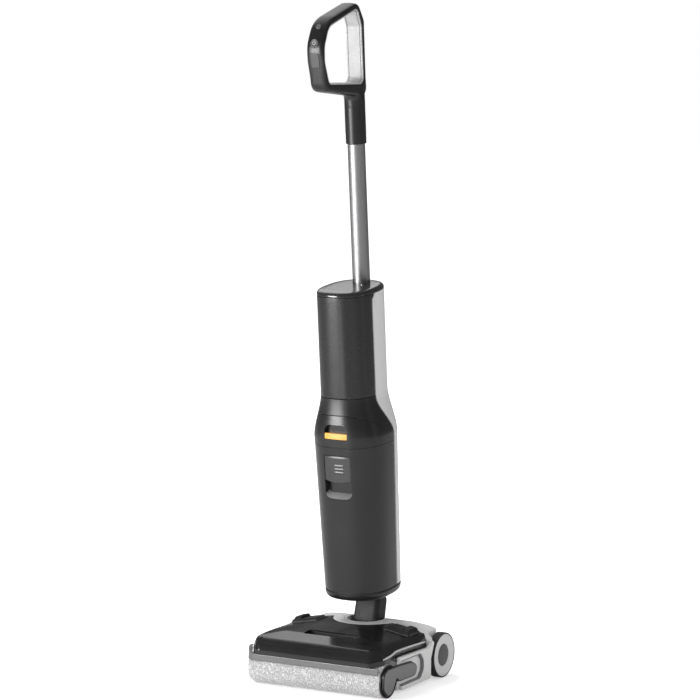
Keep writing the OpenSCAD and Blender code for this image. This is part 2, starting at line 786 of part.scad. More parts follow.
module base_cap() {
    color("dimgray") difference() {
        union() {
            upright() difference() {
                union() {
                    loft(base_foot, foot_section(9), base_foot + 9, foot_section(0.6));
                    loft(base_foot + 9, foot_section(0.6), base_top, foot_section(0));
                }
                difference() {
                    loft(base_foot + wall, foot_section(12), base_top + 0.1, foot_section(3));
                }
            }
            neck() intersection() {
                translate([0, 0, swivel_s]) cylinder(h = 14, r = boss_r);
                rotate([neck_back, 0, 0]) block(-60, 60, -60, 60, 0, base_foot + 1);
            }
            neck() difference() {
                translate([0, 0, swivel_s + 5]) cylinder(h = 6.5, r = post_r + 5);
                rotate([neck_back, 0, 0]) block(-60, 60, -60, 60, 0, base_foot + 1);
            }
        }
        neck() cylinder(h = swivel_s + 40, r = post_r + clear);
        neck() translate([0, 0, swivel_s + 11.5]) cylinder(h = 40, r = post_r + 3.8);
    }
}

// Inner frame: deck over the base, wall between the tanks, and the motor's platform.
module spine() {
    color("slategray") upright() {
        difference() {
            translate([0, 0, base_top]) linear_extrude(tank_foot - base_top - seam)
                section(foot_hx - 1.5, foot_vf + 1.5, foot_vr - 1.5);
            translate([0, 38, base_top - 1]) cylinder(h = 6, r = 15);
        }
        difference() {
            block(-50, 50, split_low + 0.2, split_low + 3.8, base_top, wide_w);
            block(-30, 30, split_low - 1, split_low + 6, wide_w - 45, wide_w + 1);
        }
        difference() {
            intersection() {
                translate([0, 0, tube_foot]) linear_extrude(3)
                    section(tube_hx - wall - 0.1, tube_vf + wall + 0.1, tube_vr - wall - 0.1);
                block(-60, 60, -70, 12, tube_foot - 7, tube_foot + 13);
            }
            translate([0, motor_v, tube_foot - 7]) cylinder(h = 20, r = 18);
        }
        mirror_x() block(30, 40, split_low + 0.2, split_low + 3.8, wide_w - 1, tube_foot + 3);
        mirror_x() block(34, 38, 0, split_low + 3.8, tube_foot, tube_foot + 3);
    }
}

module rear_shell() {
    color("whitesmoke") upright() difference() {
        intersection() {
            difference() {
                union() { body_low(0); body_flare(0); body_high(0); }
                union() { body_low(wall); body_flare(wall); tube_bore(); }
            }
            rear_zone(tank_foot + 0.01, cap_foot, split_gap / 2);
        }
        block(-opening_hx, opening_hx, 20, 90, opening_w0, opening_w1);
    }
}

module collar() {
    color("dimgray") upright() {
        intersection() {
            difference() {
                body_flare(0);
                difference() { body_flare(wall); block(-90, 90, -90, 90, 0, collar_foot + 3); }
            }
            front_zone(collar_foot, tube_foot - seam, split_gap / 2);
        }
    }
}

module upper_tube() {
    color("dimgray") upright() intersection() {
        difference() { body_high(0); tube_bore(); }
        front_zone(tube_foot, cap_foot, split_gap / 2);
    }
}

module top_cap() {
    color("black") upright() difference() {
        union() {
            translate([0, 0, cap_foot]) linear_extrude(3) section(tube_hx, tube_vf, tube_vr);
            loft(cap_foot + 2.99, tube_section(0), cap_foot + cap_t_top, tube_section(4));
        }
        translate([0, pole_v, cap_foot - 1]) cylinder(h = 12, r = pole_r + clear);
        translate([lock_x, lock_v, cap_foot - 1]) cylinder(h = 12, r = 3 + clear, $fn = 48);
    }
}

module pole_socket() {
    color("gray") upright() {
        difference() {
            translate([0, pole_v, socket_foot]) cylinder(h = cap_foot - socket_foot, r = pole_r + 2.8);
            translate([0, pole_v, socket_foot + 4]) cylinder(h = cap_foot, r = pole_r + clear);
        }
        difference() {
            block(-20, 20, pole_v + pole_r + 1, pole_v + pole_r + 4, socket_foot, cap_foot);
            translate([0, pole_v, socket_foot - 1]) cylinder(h = cap_foot, r = pole_r + clear);
        }
        mirror_x() block(19, 22, pole_v - 4, pole_v + pole_r + 4, socket_foot, cap_foot);
        difference() {
            translate([lock_x, lock_v, cap_foot - 8]) cylinder(h = 8, r = 5, $fn = 48);
            translate([lock_x, lock_v, cap_foot - 6]) cylinder(h = 8, r = 3 + clear, $fn = 48);
        }
        block(19, 22, lock_v - 3, pole_v, cap_foot - 8, cap_foot);
        block(lock_x + 4, 20, lock_v - 3, lock_v + 3, cap_foot - 8, cap_foot);
    }
}

module suction_motor() {
    color("silver") upright() difference() {
        union() {
            translate([0, motor_v, motor_w0 - 1]) cylinder(h = motor_w1 - motor_w0 + 1, r = motor_can_r);
            translate([0, motor_v, motor_w1]) cylinder(h = 16, r = 3);
        }
        translate([0, motor_v, motor_w0 - 2]) cylinder(h = 30, r = 17);
    }
}

module fan() {
    color("orange") upright() difference() {
        translate([0, motor_v, motor_w1 + 1]) union() {
            cylinder(h = 12, r = 8);
            cylinder(h = 2, r = fan_r);
            for (a = [0:30:330]) rotate([0, 0, a]) translate([6, -0.6, 0]) cube([fan_r - 7, 1.2, 9]);
        }
        translate([0, motor_v, motor_w1 - 1]) cylinder(h = 20, r = 3 + fit);
    }
}

module battery_pack() {
    color("steelblue") upright() {
        for (p = [[-1.5, 0], [-0.5, 0], [0.5, 0], [1.5, 0], [-0.5, 1], [0.5, 1]])
            translate([p[0] * cell_pitch, cell_v + p[1] * cell_pitch * 0.97, cell_w0])
                cylinder(h = cell_len, r = cell_r, $fn = 64);
        for (w = [cell_w0 - 2, cell_w0 + cell_len - 1]) intersection() {
            translate([0, 0, w]) linear_extrude(3) section(tube_hx - wall, tube_vf + wall, tube_vr - wall);
            block(-50, 50, cell_v - cell_r - 0.2, tube_vr, w, w + 3);
        }
    }
}

module main_board() {
    color("green") upright() {
        block(-board_hx, board_hx, board_v, board_v + board_t, board_w0, board_w1);
        block(-12, 12, board_v + board_t, board_v + 8, board_w0 + 10, board_w0 + 30);
        block(-30, -14, board_v + board_t, board_v + 6, board_w0 + 40, board_w1 - 14);
        for (x = [16, 26]) translate([x, board_v + board_t - 0.1, board_w0 + 55]) rotate([-90, 0, 0])
            cylinder(h = 12, r = 4, $fn = 32);
        mirror_x() block(24, 28, board_v - 8, board_v, board_w0 + 4, board_w0 + 10);
    }
}

module water_pump() {
    color("black") upright() {
        block(-36, -17, -32, 4, base_foot + wall, base_top);
        translate([-27, 4, base_foot + wall + 6]) rotate([-90, 0, 0]) cylinder(h = 16, r = 4, $fn = 48);
    }
}

// ---- dirty water tank ----

module tank_space(inset) {
    intersection() {
        body_low(inset);
        front_zone(tank_foot + inset, lid_foot - seam + inset * 2, split_gap + inset);
    }
}

module dirty_tank() {
    color("darkgray", 0.7) upright() {
        difference() {
            union() {
                difference() { tank_space(0); tank_space(wall); }
                intersection() {
                    tank_space(0);
                    block(-grip_hx - wall, grip_hx + wall, -90, grip_v + wall,
                        grip_w0 - wall, grip_w1 + wall);
                }
            }
            along_front(grip_hx, grip_w0, grip_w1, grip_v, 9, 5);
            for (x = [-14, 14]) translate([x, grip_v - 1, release_w0 + 26]) rotate([-90, 0, 0])
                cylinder(h = 20, r = 2.5 + clear, $fn = 32);
        }
    }
}

// A pocket with rounded corners cut into the front, down to depth v.
module along_front(hx, w0, w1, v, r_low, r_high) {
    translate([0, v, 0]) rotate([90, 0, 0]) linear_extrude(60) polygon(rounded([
        [-hx, w0, r_low], [hx, w0, r_low], [hx, w1, r_high], [-hx, w1, r_high]
    ]));
}

module standpipe() {
    color("gray") upright() {
        difference() {
            union() {
                translate([0, pipe_v, tank_foot + wall]) {
                    cylinder(h = pipe_top - tank_foot - wall, r = pipe_r);
                    cylinder(h = float_w0 - tank_foot - wall, r = pipe_r + 4);
                }
            }
            translate([0, pipe_v, tank_foot]) cylinder(h = lid_foot - tank_foot, r = pipe_r - 2);
        }
        translate([0, pipe_v, pipe_top + 10]) cylinder(h = 2, r = 18);
        for (a = [45:90:315]) translate([0, pipe_v, 0]) rotate([0, 0, a])
            block(pipe_r - 1.5, pipe_r, -1.5, 1.5, pipe_top - 1, pipe_top + 11);
    }
}

module tank_lid() {
    color("gray") upright() difference() {
        union() {
            intersection() {
                union() { body_low(0); body_flare(0); }
                union() {
                    difference() {
                        front_zone(lid_foot, collar_foot - seam, split_gap);
                        intersection() {
                            union() { body_low(lid_wall); body_flare(lid_wall); }
                            front_zone(lid_foot - 1, collar_foot - 3, split_gap + lid_wall);
                        }
                    }
                    block(-catch_hx - wall, catch_hx + wall, -90, catch_v + wall,
                        catch_w0 - wall, catch_w1 + wall);
                }
            }
            // plug that seats in the tank's mouth
            difference() {
                intersection() {
                    body_low(wall + clear);
                    front_zone(lid_foot - 6, lid_foot + 4, split_gap + wall + clear);
                }
                intersection() {
                    body_low(wall + 2.5);
                    front_zone(lid_foot - 7, lid_foot + 5, split_gap + wall + 2.5);
                }
            }
        }
        along_front(catch_hx, catch_w0, catch_w1, catch_v, 0.6, 7);
    }
}

module tank_filter() {
    color("lightgray") upright() difference() {
        translate([0, filter_v, filter_w0]) cylinder(h = collar_foot - seam - 3 - filter_w0, r = filter_r);
        translate([0, filter_v, filter_w0 - 1]) cylinder(h = 30, r = filter_r - 6);
    }
}

module tank_float() {
    color("orange") upright() difference() {
        translate([0, pipe_v, float_w0]) cylinder(h = float_h, r = pipe_r + 9);
        translate([0, pipe_v, float_w0 - 1]) cylinder(h = float_h + 2, r = pipe_r + clear);
    }
}

// Plate the thumb pushes in to free the dirty water tank.
module tank_release() {
    color("silver") upright() {
        intersection() {
            difference() { body_low(0.8); body_low(4); }
            along_front(grip_hx - 0.8, release_w0, grip_w1 - 0.8, grip_v - 4, 5, 4.5);
        }
        for (x = [-14, 14]) translate([x, -71, release_w0 + 26]) rotate([-90, 0, 0])
            cylinder(h = 71 + grip_v + 1, r = 2.5, $fn = 32);
    }
}

module lid_catch() {
    color("orange") upright() intersection() {
        union() { body_low(1.6); body_flare(1.6); }
        block(-catch_hx + clear, catch_hx - clear, -90, catch_v - clear,
            catch_w0 + clear, catch_w0 + catch_h);
    }
}

// ---- clean water tank ----

module clean_tank_space(inset) {
    intersection() {
        body_low(inset);
        block(-opening_hx + clear + inset, opening_hx - clear - inset, split_low + 4.2 + inset, 90,
            opening_w0 + clear + inset, opening_w1 - 14 - inset);
    }
}

module clean_tank() {
    color("lightblue", 0.8) upright() difference() {
        union() {
            difference() { clean_tank_space(0); clean_tank_space(wall); }
            intersection() {
                union() { body_low(0); body_flare(0); }
                block(-opening_hx + clear, opening_hx - clear, 58.5, 90, opening_w1 - 15, opening_w1 - clear);
            }
            intersection() {
                body_low(0.5);
                block(-finger_hx - 2, finger_hx + 2, finger_v - 3, 90, finger_w0 - 2, finger_w1 + 2);
            }
        }
        block(-finger_hx, finger_hx, finger_v, 90, finger_w0, finger_w1);
        translate([0, 38, opening_w1 - 20]) cylinder(h = 8, r = 12);
    }
}

module clean_tank_cap() {
    color("gray") upright() {
        translate([0, 38, opening_w1 - 14]) cylinder(h = 8, r = 15);
        translate([0, 38, opening_w1 - 19]) cylinder(h = 5.1, r = 12 - fit);
    }
}

// ---- pole and handle ----

module pole_lock() {
    color("silver") upright() translate([lock_x, lock_v, cap_foot - 4])
        cylinder(h = cap_t_top + 5.2, r = 3, $fn = 48);
}

module pole() {
    color("silver") upright() translate([0, pole_v, pole_foot]) difference() {
        cylinder(h = pole_top - pole_foot, r = pole_r);
        translate([0, 0, -1]) cylinder(h = pole_top, r = pole_r - pole_wall);
    }
}

module loop_outline() {
    difference() {
        polygon(rounded(loop_outer));
        polygon(rounded(loop_inner));
    }
}

module key_frame(v, w, tilt) {
    upright() translate([0, v, w]) rotate([90 - tilt, 0, 0]) children();
}

// The flat below the keys: z runs up it and y points into the bar.
module strip_frame() {
    upright() translate([0, loop_outer[3][0], loop_outer[3][1]]) rotate([strip_tilt, 0, 0]) children();
}

module handle_shell() {
    color("black") difference() {
        upright() {
            difference() {
                along_x(-loop_w / 2, loop_w / 2) loop_outline();
                along_x(-loop_w / 2 + loop_wall, loop_w / 2 - loop_wall) difference() {
                    offset(delta = -loop_wall) polygon(rounded(loop_outer));
                    offset(delta = loop_wall) polygon(rounded(loop_inner));
                }
                translate([0, pole_v, sleeve_foot + 48]) cylinder(h = 60, r = pole_r + 0.02);
            }
            translate([0, pole_v, sleeve_foot]) difference() {
                cylinder(h = 68, r = sleeve_r);
                translate([0, 0, -1]) cylinder(h = 80, r = pole_r + 0.02);
            }
        }
        key_frame(power_v, power_w, power_tilt) translate([0, 0, -4.4]) cylinder(h = 12, r = power_r + clear);
        key_frame(mode_v, mode_w, mode_tilt) translate([0, 0, -4.4]) cylinder(h = 12, r = mode_r + clear);
        strip_frame() block(-7.8, 7.8, -20, 1.2, strip_l0, strip_l1);
    }
}

// Pale lining round the inside of the loop.
module handle_lining() {
    color("gainsboro") upright() along_x(-loop_w / 2 + 0.6, loop_w / 2 - 0.6) difference() {
        polygon(rounded(loop_inner));
        offset(delta = -lining_t) polygon(rounded(loop_inner));
    }
}

module handle_board() {
    color("green") key_frame(power_v, power_w, power_tilt)
        block(-loop_w / 2 + loop_wall, loop_w / 2 - loop_wall, -10, 9, -6.4, -4.8);
}

module status_strip() {
    color("dimgray") strip_frame() block(-7.5, 7.5, -0.6, 1.2, strip_l0 + 0.3, strip_l1 - 0.3);
}

module power_button() {
    color("gray") key_frame(power_v, power_w, power_tilt) translate([0, 0, -3.3])
        cylinder(h = 4.7, r = power_r);
}

module mode_button() {
    color("gray") key_frame(mode_v, mode_w, mode_tilt) translate([0, 0, -3.3]) cylinder(h = 4.9, r = mode_r);
}

chassis();
base_plate();
rear_housing();
side_panel_left();
side_panel_right();
neck_ring();
hinge_pins();
suction_duct();
scraper_comb();
squeegee();
spray_bar();
brush_motor();
wheel_axles();
charge_contacts();
drive_hub();
roller_core();
roller_plush();
roller_cap();
roller_lever();
head_cover();
splash_strip();
cover_button_left();
cover_button_right();
tyre_left();
rim_left();
tyre_right();
rim_right();
under_roller_left();
under_roller_right();
neck_column();
neck_hose();
base_cap();
spine();
rear_shell();
collar();
upper_tube();
top_cap();
pole_socket();
suction_motor();
battery_pack();
main_board();
water_pump();
fan();
dirty_tank();
standpipe();
tank_lid();
tank_filter();
tank_float();
tank_release();
lid_catch();
clean_tank();
clean_tank_cap();
pole_lock();
pole();
handle_shell();
handle_lining();
handle_board();
status_strip();
power_button();
mode_button();
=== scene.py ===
import bpy
import json
import numpy as np
from math import asin, atan2, cos, hypot, pi, radians, sin, sqrt, tan
from mathutils import Matrix, Vector, noise


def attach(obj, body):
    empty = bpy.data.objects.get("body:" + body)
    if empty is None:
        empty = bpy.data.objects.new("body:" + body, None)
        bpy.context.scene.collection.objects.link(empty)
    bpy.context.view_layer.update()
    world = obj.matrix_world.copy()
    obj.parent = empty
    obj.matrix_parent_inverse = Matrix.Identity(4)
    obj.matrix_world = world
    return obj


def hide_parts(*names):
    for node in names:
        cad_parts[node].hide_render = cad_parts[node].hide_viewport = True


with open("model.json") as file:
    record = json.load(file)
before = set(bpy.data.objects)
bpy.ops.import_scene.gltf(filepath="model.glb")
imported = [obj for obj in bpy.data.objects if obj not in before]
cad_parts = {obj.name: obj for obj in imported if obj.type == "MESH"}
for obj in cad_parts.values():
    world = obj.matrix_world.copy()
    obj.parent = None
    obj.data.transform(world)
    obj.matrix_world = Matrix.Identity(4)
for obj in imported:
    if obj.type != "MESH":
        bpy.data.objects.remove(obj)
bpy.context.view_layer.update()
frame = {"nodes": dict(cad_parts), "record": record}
nodes = frame["nodes"]
record = frame["record"]
scene = bpy.context.scene
slot_of = {row["node"]: row["material_slot"] for row in record["subparts"]}
body_of = {node: body for body, names in record["behaviour"]["bodies"].items() for node in names}

MM = 0.001
# The machine's own measures, in millimetres and degrees, as its solids have them.
PIVOT_Y, PIVOT_Z, LEAN, NECK_BACK = 60.0, 50.0, 4.4, 20.0
TANK_FOOT, LID_FOOT, WIDE_W, COLLAR_FOOT, TUBE_FOOT, CAP_FOOT = 103.0, 350.0, 365.0, 403.5, 430.5, 598.5
SPLIT_LOW, SPLIT_HIGH, SPLIT_GAP = 13.0, -17.0, 2.2
POLE_V, POLE_R, SLEEVE_FOOT = 31.5, 14.4, 835.5
ROLLER_Y, ROLLER_R, PLUSH_X0, PLUSH_X1 = -88.0, 28.0, -124.0, 122.0
WHEEL_Y, WHEEL_R, TYRE_X0, TYRE_WIDTH, RIM_R = 89.0, 37.5, 118.0, 15.0, 35.2
DECK_Y, DECK_R, DECK_TOP = 66.0, 58.0, 92.0
PANEL_X0, PANEL_X1 = 124.0, 131.0
COVER_HX, COVER_BACK, LIP_Y, CREST_Y, CREST_Z = 121.0, 50.0, -118.0, -104.0, 80.0
RECESS_HX, RECESS_LOW, RECESS_HIGH = 21.0, 364.0, 388.0
THUMB_HX, THUMB_LOW, THUMB_HIGH, THUMB_V = 27.0, 251.0, 337.0, -59.0
WINDOW_HX, WINDOW_LOW, WINDOW_HIGH = 40.0, 119.0, 378.0
# A moulding's wall, a place well in front of the upright, and how far its section is bent from an oval.
WALL, CLEAR_V, SKIN_POWER = 2.4, -95.0, 0.8

ROW = Matrix.Identity(4)
UPRIGHT = Matrix.Translation((0, PIVOT_Y, PIVOT_Z)) @ Matrix.Rotation(radians(LEAN), 4, "X")
NECK = UPRIGHT @ Matrix.Rotation(radians(-NECK_BACK), 4, "X")
# Stands a drawing in (Y, Z) on edge, so that its thickness runs along X.
ON_EDGE = Matrix(((0, 0, 1, 0), (1, 0, 0, 0), (0, 1, 0, 0), (0, 0, 0, 1)))


def facing_front(v, w, tilt=0.0):
    """Frame on the upright's front: x across, y up it, z out of it, leaned back by a tilt."""
    return UPRIGHT @ Matrix.Translation((0, v, w)) @ Matrix.Rotation(radians(90 - tilt), 4, "X")


def standing(v, w, x=0.0):
    """Frame in the upright, with z up it."""
    return UPRIGHT @ Matrix.Translation((x, v, w))


def across(x, y, z, side=1):
    """Frame whose z runs along the machine's X, outward on the given side."""
    return Matrix.Translation((x, y, z)) @ Matrix.Rotation(radians(90 * side), 4, "Y")


# ---- drawing and solids ----

def rounded(corners, steps=8):
    """Closed outline whose corners (x, y, radius) are rounded."""
    outline = []
    for i, (x, y, r) in enumerate(corners):
        here = Vector((x, y))
        before = Vector(corners[i - 1][:2]) - here
        after = Vector(corners[(i + 1) % len(corners)][:2]) - here
        before.normalize()
        after.normalize()
        half = before.angle(after) / 2
        centre = here + (before + after).normalized() * r / sin(half)
        start = here + before * r / tan(half) - centre
        end = here + after * r / tan(half) - centre
        first = atan2(start.y, start.x)
        sweep = (atan2(end.y, end.x) - first + pi) % (2 * pi) - pi
        for k in range(steps + 1):
            angle = first + sweep * k / steps
            outline.append((centre.x + r * cos(angle), centre.y + r * sin(angle)))
    return outline


def oblong(x0, x1, y0, y1, radius, steps=8):
    """Rectangle with round corners."""
    return rounded([(x0, y0, radius), (x1, y0, radius), (x1, y1, radius), (x0, y1, radius)], steps)


def flattened(value, power):
    """A sine or cosine bent so that a circle turns into a rounded box."""
    return np.sign(value) * abs(value) ** power


def oval(hx, front, back, height, count, power=SKIN_POWER):
    """Rounded-box line round the upright at a height."""
    middle, half = (front + back) / 2, (back - front) / 2
    angles = [2 * pi * k / count for k in range(count)]
    return [(hx * flattened(cos(t), power), middle + half * flattened(sin(t), power), height)
            for t in angles]


def evenly(points, count, closed=False):
    """The same line as count points at equal distances."""
    line = np.array(points + points[:1] if closed else points, dtype=float)
    along = np.concatenate([[0.0], np.cumsum(np.linalg.norm(np.diff(line, axis=0), axis=1))])
    wanted = np.linspace(0.0, along[-1], count, endpoint=not closed)
    columns = [np.interp(wanted, along, line[:, k]) for k in range(line.shape[1])]
    return [tuple(p) for p in np.stack(columns, 1)]


def eased(t, low=0.0, high=1.0):
    """Smooth step from 0 at the low value to 1 at the high one."""
    t = min(1.0, max(0.0, (t - low) / (high - low)))
    return t * t * (3 - 2 * t)


def body(points, faces, place=ROW):
    """Mesh object from points in millimetres in the given frame."""
    mesh = bpy.data.meshes.new("shape")
    mesh.from_pydata([tuple((place @ Vector(p)) * MM) for p in points], [], faces)
    mesh.update()
    shape = bpy.data.objects.new("shape", mesh)
    scene.collection.objects.link(shape)
    return shape


def rows_body(rows, place=ROW, around=False, ends=False, endless=False):
    """Skin over rows of points: around joins each row's ends, endless joins the last row to the first,
    and ends closes both with a face."""
    width = len(rows[0])
    points = [tuple(p) for row in rows for p in row]
    faces = []
    for r in range(len(rows) - (0 if endless else 1)):
        s = (r + 1) % len(rows)
        for c in range(width if around else width - 1):
            d = (c + 1) % width
            faces.append((r * width + c, r * width + d, s * width + d, s * width + c))
    if ends:
        faces.append(tuple(reversed(range(width))))
        faces.append(tuple(range((len(rows) - 1) * width, len(rows) * width)))
    return body(points, faces, place)


def block(x0, x1, y0, y1, z0, z1, place=ROW):
    """Plain box between its sides."""
    points = [(x, y, z) for z in (z0, z1) for x, y in ((x0, y0), (x1, y0), (x1, y1), (x0, y1))]
    faces = [(3, 2, 1, 0), (4, 5, 6, 7), (0, 1, 5, 4), (1, 2, 6, 5), (2, 3, 7, 6), (3, 0, 4, 7)]
    return body(points, faces, place)


def turned(profile, place, turns):
    """Body turned round z from a closed line of (radius, height) points, welded where it meets the axis."""
    rows = [[(r * cos(2 * pi * k / turns), r * sin(2 * pi * k / turns), h) for k in range(turns)]
            for r, h in profile]
    return weld(rows_body(rows, place, around=True, endless=True), 0.00003)


def plug(radius, low, high, place, turns):
    """Plain cylinder, used as a cutter."""
    return turned([(0.01, low), (radius, low), (radius, high), (0.01, high)], place, turns)


def stud(radius, low, high, low_edge, high_edge, place, turns, steps=3):
    """Cylinder with a round edge at each end."""
    return turned(rounded([(0.01, low, 0.004), (radius, low, low_edge), (radius, high, high_edge),
                           (0.01, high, 0.004)], steps), place, turns)


def drawn(loops, low, high, edge=0.8, place=ROW, steps=3):
    """Flat body between two heights, from closed outlines (the inner ones are holes), with round edges."""
    curve = bpy.data.curves.new("drawing", "CURVE")
    curve.dimensions = "2D"
    curve.fill_mode = "BOTH"
    for loop in loops:
        spline = curve.splines.new("POLY")
        spline.points.add(len(loop) - 1)
        for point, (x, y) in zip(spline.points, loop):
            point.co = (x * MM, y * MM, 0, 1)
        spline.use_cyclic_u = True
    edge = min(edge, (high - low) / 2 - 0.01)
    curve.extrude = ((high - low) / 2 - edge) * MM
    curve.bevel_depth = edge * MM
    curve.bevel_resolution = steps
    curve.offset = -edge * MM
    plan = bpy.data.objects.new("drawing", curve)
    scene.collection.objects.link(plan)
    graph = bpy.context.evaluated_depsgraph_get()
    graph.update()
    mesh = bpy.data.meshes.new_from_object(plan.evaluated_get(graph))
    bpy.data.objects.remove(plan)
    lift = Matrix.Translation((0, 0, (low + high) / 2 * MM))
    put = place.copy()
    put.translation = put.translation * MM
    mesh.transform(put @ lift)
    shape = bpy.data.objects.new("shape", mesh)
    scene.collection.objects.link(shape)
    return weld(shape)


def weld(shape, gap=0.00001):
    """Joins points that lie closer together than a gap in metres."""
    step = shape.modifiers.new("weld", "WELD")
    step.merge_threshold = gap
    return settled(shape)


def settled(shape):
    """Applies the shape's modifiers."""
    graph = bpy.context.evaluated_depsgraph_get()
    graph.update()
    mesh = bpy.data.meshes.new_from_object(shape.evaluated_get(graph))
    shape.modifiers.clear()
    old = shape.data
    shape.data = mesh
    bpy.data.meshes.remove(old)
    return shape


def thick(shape, depth, outward=False):
    """Gives a sheet a wall, inward or outward."""
    step = shape.modifiers.new("thick", "SOLIDIFY")
    step.thickness = depth * MM
    step.offset = 1.0 if outward else -1.0
    step.use_even_offset = True
    return settled(shape)


def cut(shape, *tools, keep=False):
    """Cuts each tool out of a shape, or keeps only what lies inside it."""
    for tool in tools:
        step = shape.modifiers.new("cut", "BOOLEAN")
        step.object = tool
        step.operation = "INTERSECT" if keep else "DIFFERENCE"
        step.solver = "EXACT"
        settled(shape)
        bpy.data.objects.remove(tool)
    return shape


def merged(shape, *others):
    for other in others:
        step = shape.modifiers.new("merge", "BOOLEAN")
        step.object = other
        step.operation = "UNION"
        step.solver = "EXACT"
        settled(shape)
        bpy.data.objects.remove(other)
    return shape


def softened(shape, width, segments=2, angle=35):
    """Rounds the edges that are sharper than an angle."""
    step = shape.modifiers.new("soft_edges", "BEVEL")
    step.width = width * MM
    step.segments = segments
    step.limit_method = "ANGLE"
    step.angle_limit = radians(angle)
    step.use_clamp_overlap = True
    return settled(shape)


def joined(first, *others):
    with bpy.context.temp_override(active_object=first, selected_editable_objects=[first, *others]):
        bpy.ops.object.join()
    return first


def coloured(shape, material):
    shape.data.materials.clear()
    shape.data.materials.append(material)
    for face in shape.data.polygons:
        face.material_index = 0
    return shape


def piece(name, shape, *stands_for, on=None, slot=None, angle=38, padded=None):
    """Finishes a shape: smooth faces, its body, and the nodes that it stands for."""
    shape.name = name
    shape.data.name = name
    for face in shape.data.polygons:
        face.use_smooth = True
    shape.data.set_sharp_from_angle(angle=radians(angle))
    step = shape.modifiers.new("even_shading", "WEIGHTED_NORMAL")
    step.keep_sharp = True
    step.weight = 60
    if stands_for:
        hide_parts(*stands_for)
    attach(shape, on or body_of[stands_for[0]])
    slot or slot_of[stands_for[0]]
    return shape


# ---- shader groups ----

def new_group(name, inputs, outputs):
    """A shader group with (name, type, default) inputs and (name, type) outputs."""
    group = bpy.data.node_groups.new(name, "ShaderNodeTree")
    for label, kind, value in inputs:
        socket = group.interface.new_socket(label, in_out="INPUT", socket_type="NodeSocket" + kind)
        socket.default_value = value
    for label, kind in outputs:
        group.interface.new_socket(label, in_out="OUTPUT", socket_type="NodeSocket" + kind)
    return group, Wiring(group)


class Wiring:
    """Adds nodes to a tree and joins them in one call."""

    def __init__(self, tree):
        self.tree = tree
        self.column = 0

    def add(self, kind, inputs=None, **settings):
        node = self.tree.nodes.new(kind)
        node.location = (self.column * 200, 0)
        self.column += 1
        for key, value in settings.items():
            setattr(node, key, value)
        for key, value in (inputs or {}).items():
            self.feed(node.inputs[key], value)
        return node

    def feed(self, socket, value):
        if isinstance(value, bpy.types.NodeSocket):
            self.tree.links.new(value, socket)
        else:
            socket.default_value = value

    def maths(self, operation, a, b=0.0, clamp=False):
        node = self.add("ShaderNodeMath", {0: a, 1: b}, operation=operation, use_clamp=clamp)
        return node.outputs[0]

    def noise(self, coordinates, scale, detail=2.0, roughness=0.5):
        return self.add("ShaderNodeTexNoise", {
            "Vector": coordinates, "Scale": scale, "Detail": detail, "Roughness": roughness,
        }).outputs["Fac"]

    def remap(self, value, low, high, to_low=0.0, to_high=1.0):
        node = self.add("ShaderNodeMapRange", {
            "Value": value, "From Min": low, "From Max": high, "To Min": to_low, "To Max": to_high,
        })
        return node.outputs["Result"]

    def blend(self, amount, first, second):
        node = self.add("ShaderNodeMix", data_type="RGBA")
        self.feed(node.inputs["Factor"], amount)
        self.feed(node.inputs["A"], first)
        self.feed(node.inputs["B"], second)
        return node.outputs["Result"]

    def place(self, stretch=(1.0, 1.0, 1.0)):
        """Object coordinates in metres, stretched along the axes."""
        source = self.add("ShaderNodeTexCoord").outputs["Object"]
        mapping = self.add("ShaderNodeMapping", {"Vector": source, "Scale": stretch})
        return mapping.outputs["Vector"]


def make_moulded_grain():
    """Fine spark-eroded grain of moulded plastic with a slow mottle."""
    group, wire = new_group(
        "moulded_grain",
        [("Colour", "Color", (0.5, 0.5, 0.5, 1)), ("Grain Size", "Float", 1800.0),
         ("Mottle", "Float", 0.06), ("Roughness", "Float", 0.4)],
        [("Colour", "Color"), ("Roughness", "Float"), ("Height", "Float")],
    )
    source = wire.add("NodeGroupInput")
    where = wire.place()
    fine = wire.noise(where, source.outputs["Grain Size"], 1.0)
    slow = wire.noise(where, 14.0, 3.0)
    lift = wire.maths("MULTIPLY", wire.maths("SUBTRACT", slow, 0.5), source.outputs["Mottle"])
    shade = wire.add("ShaderNodeHueSaturation",
                     {"Color": source.outputs["Colour"], "Value": wire.maths("ADD", lift, 1.0)})
    gloss = wire.maths("ADD", source.outputs["Roughness"], wire.remap(slow, 0.3, 0.7, -0.02, 0.02))
    sink = wire.add("NodeGroupOutput")
    wire.feed(sink.inputs["Colour"], shade.outputs["Color"])
    wire.feed(sink.inputs["Roughness"], gloss)
    wire.feed(sink.inputs["Height"], fine)
    return group


def make_edge_wear():
    """Mask of the edges that hands and floors rub."""
    group, wire = new_group(
        "edge_wear",
        [("Amount", "Float", 0.5), ("Patch Size", "Float", 60.0)],
        [("Mask", "Float")],
    )
    source = wire.add("NodeGroupInput")
    pointed = wire.add("ShaderNodeNewGeometry").outputs["Pointiness"]
    edge = wire.remap(pointed, 0.52, 0.6)
    patches = wire.noise(wire.place(), source.outputs["Patch Size"], 4.0, 0.65)
    broken = wire.maths("MULTIPLY", edge, wire.remap(patches, 0.42, 0.62))
    sink = wire.add("NodeGroupOutput")
    wire.feed(sink.inputs["Mask"], wire.maths("MULTIPLY", broken, source.outputs["Amount"], clamp=True))
    return group


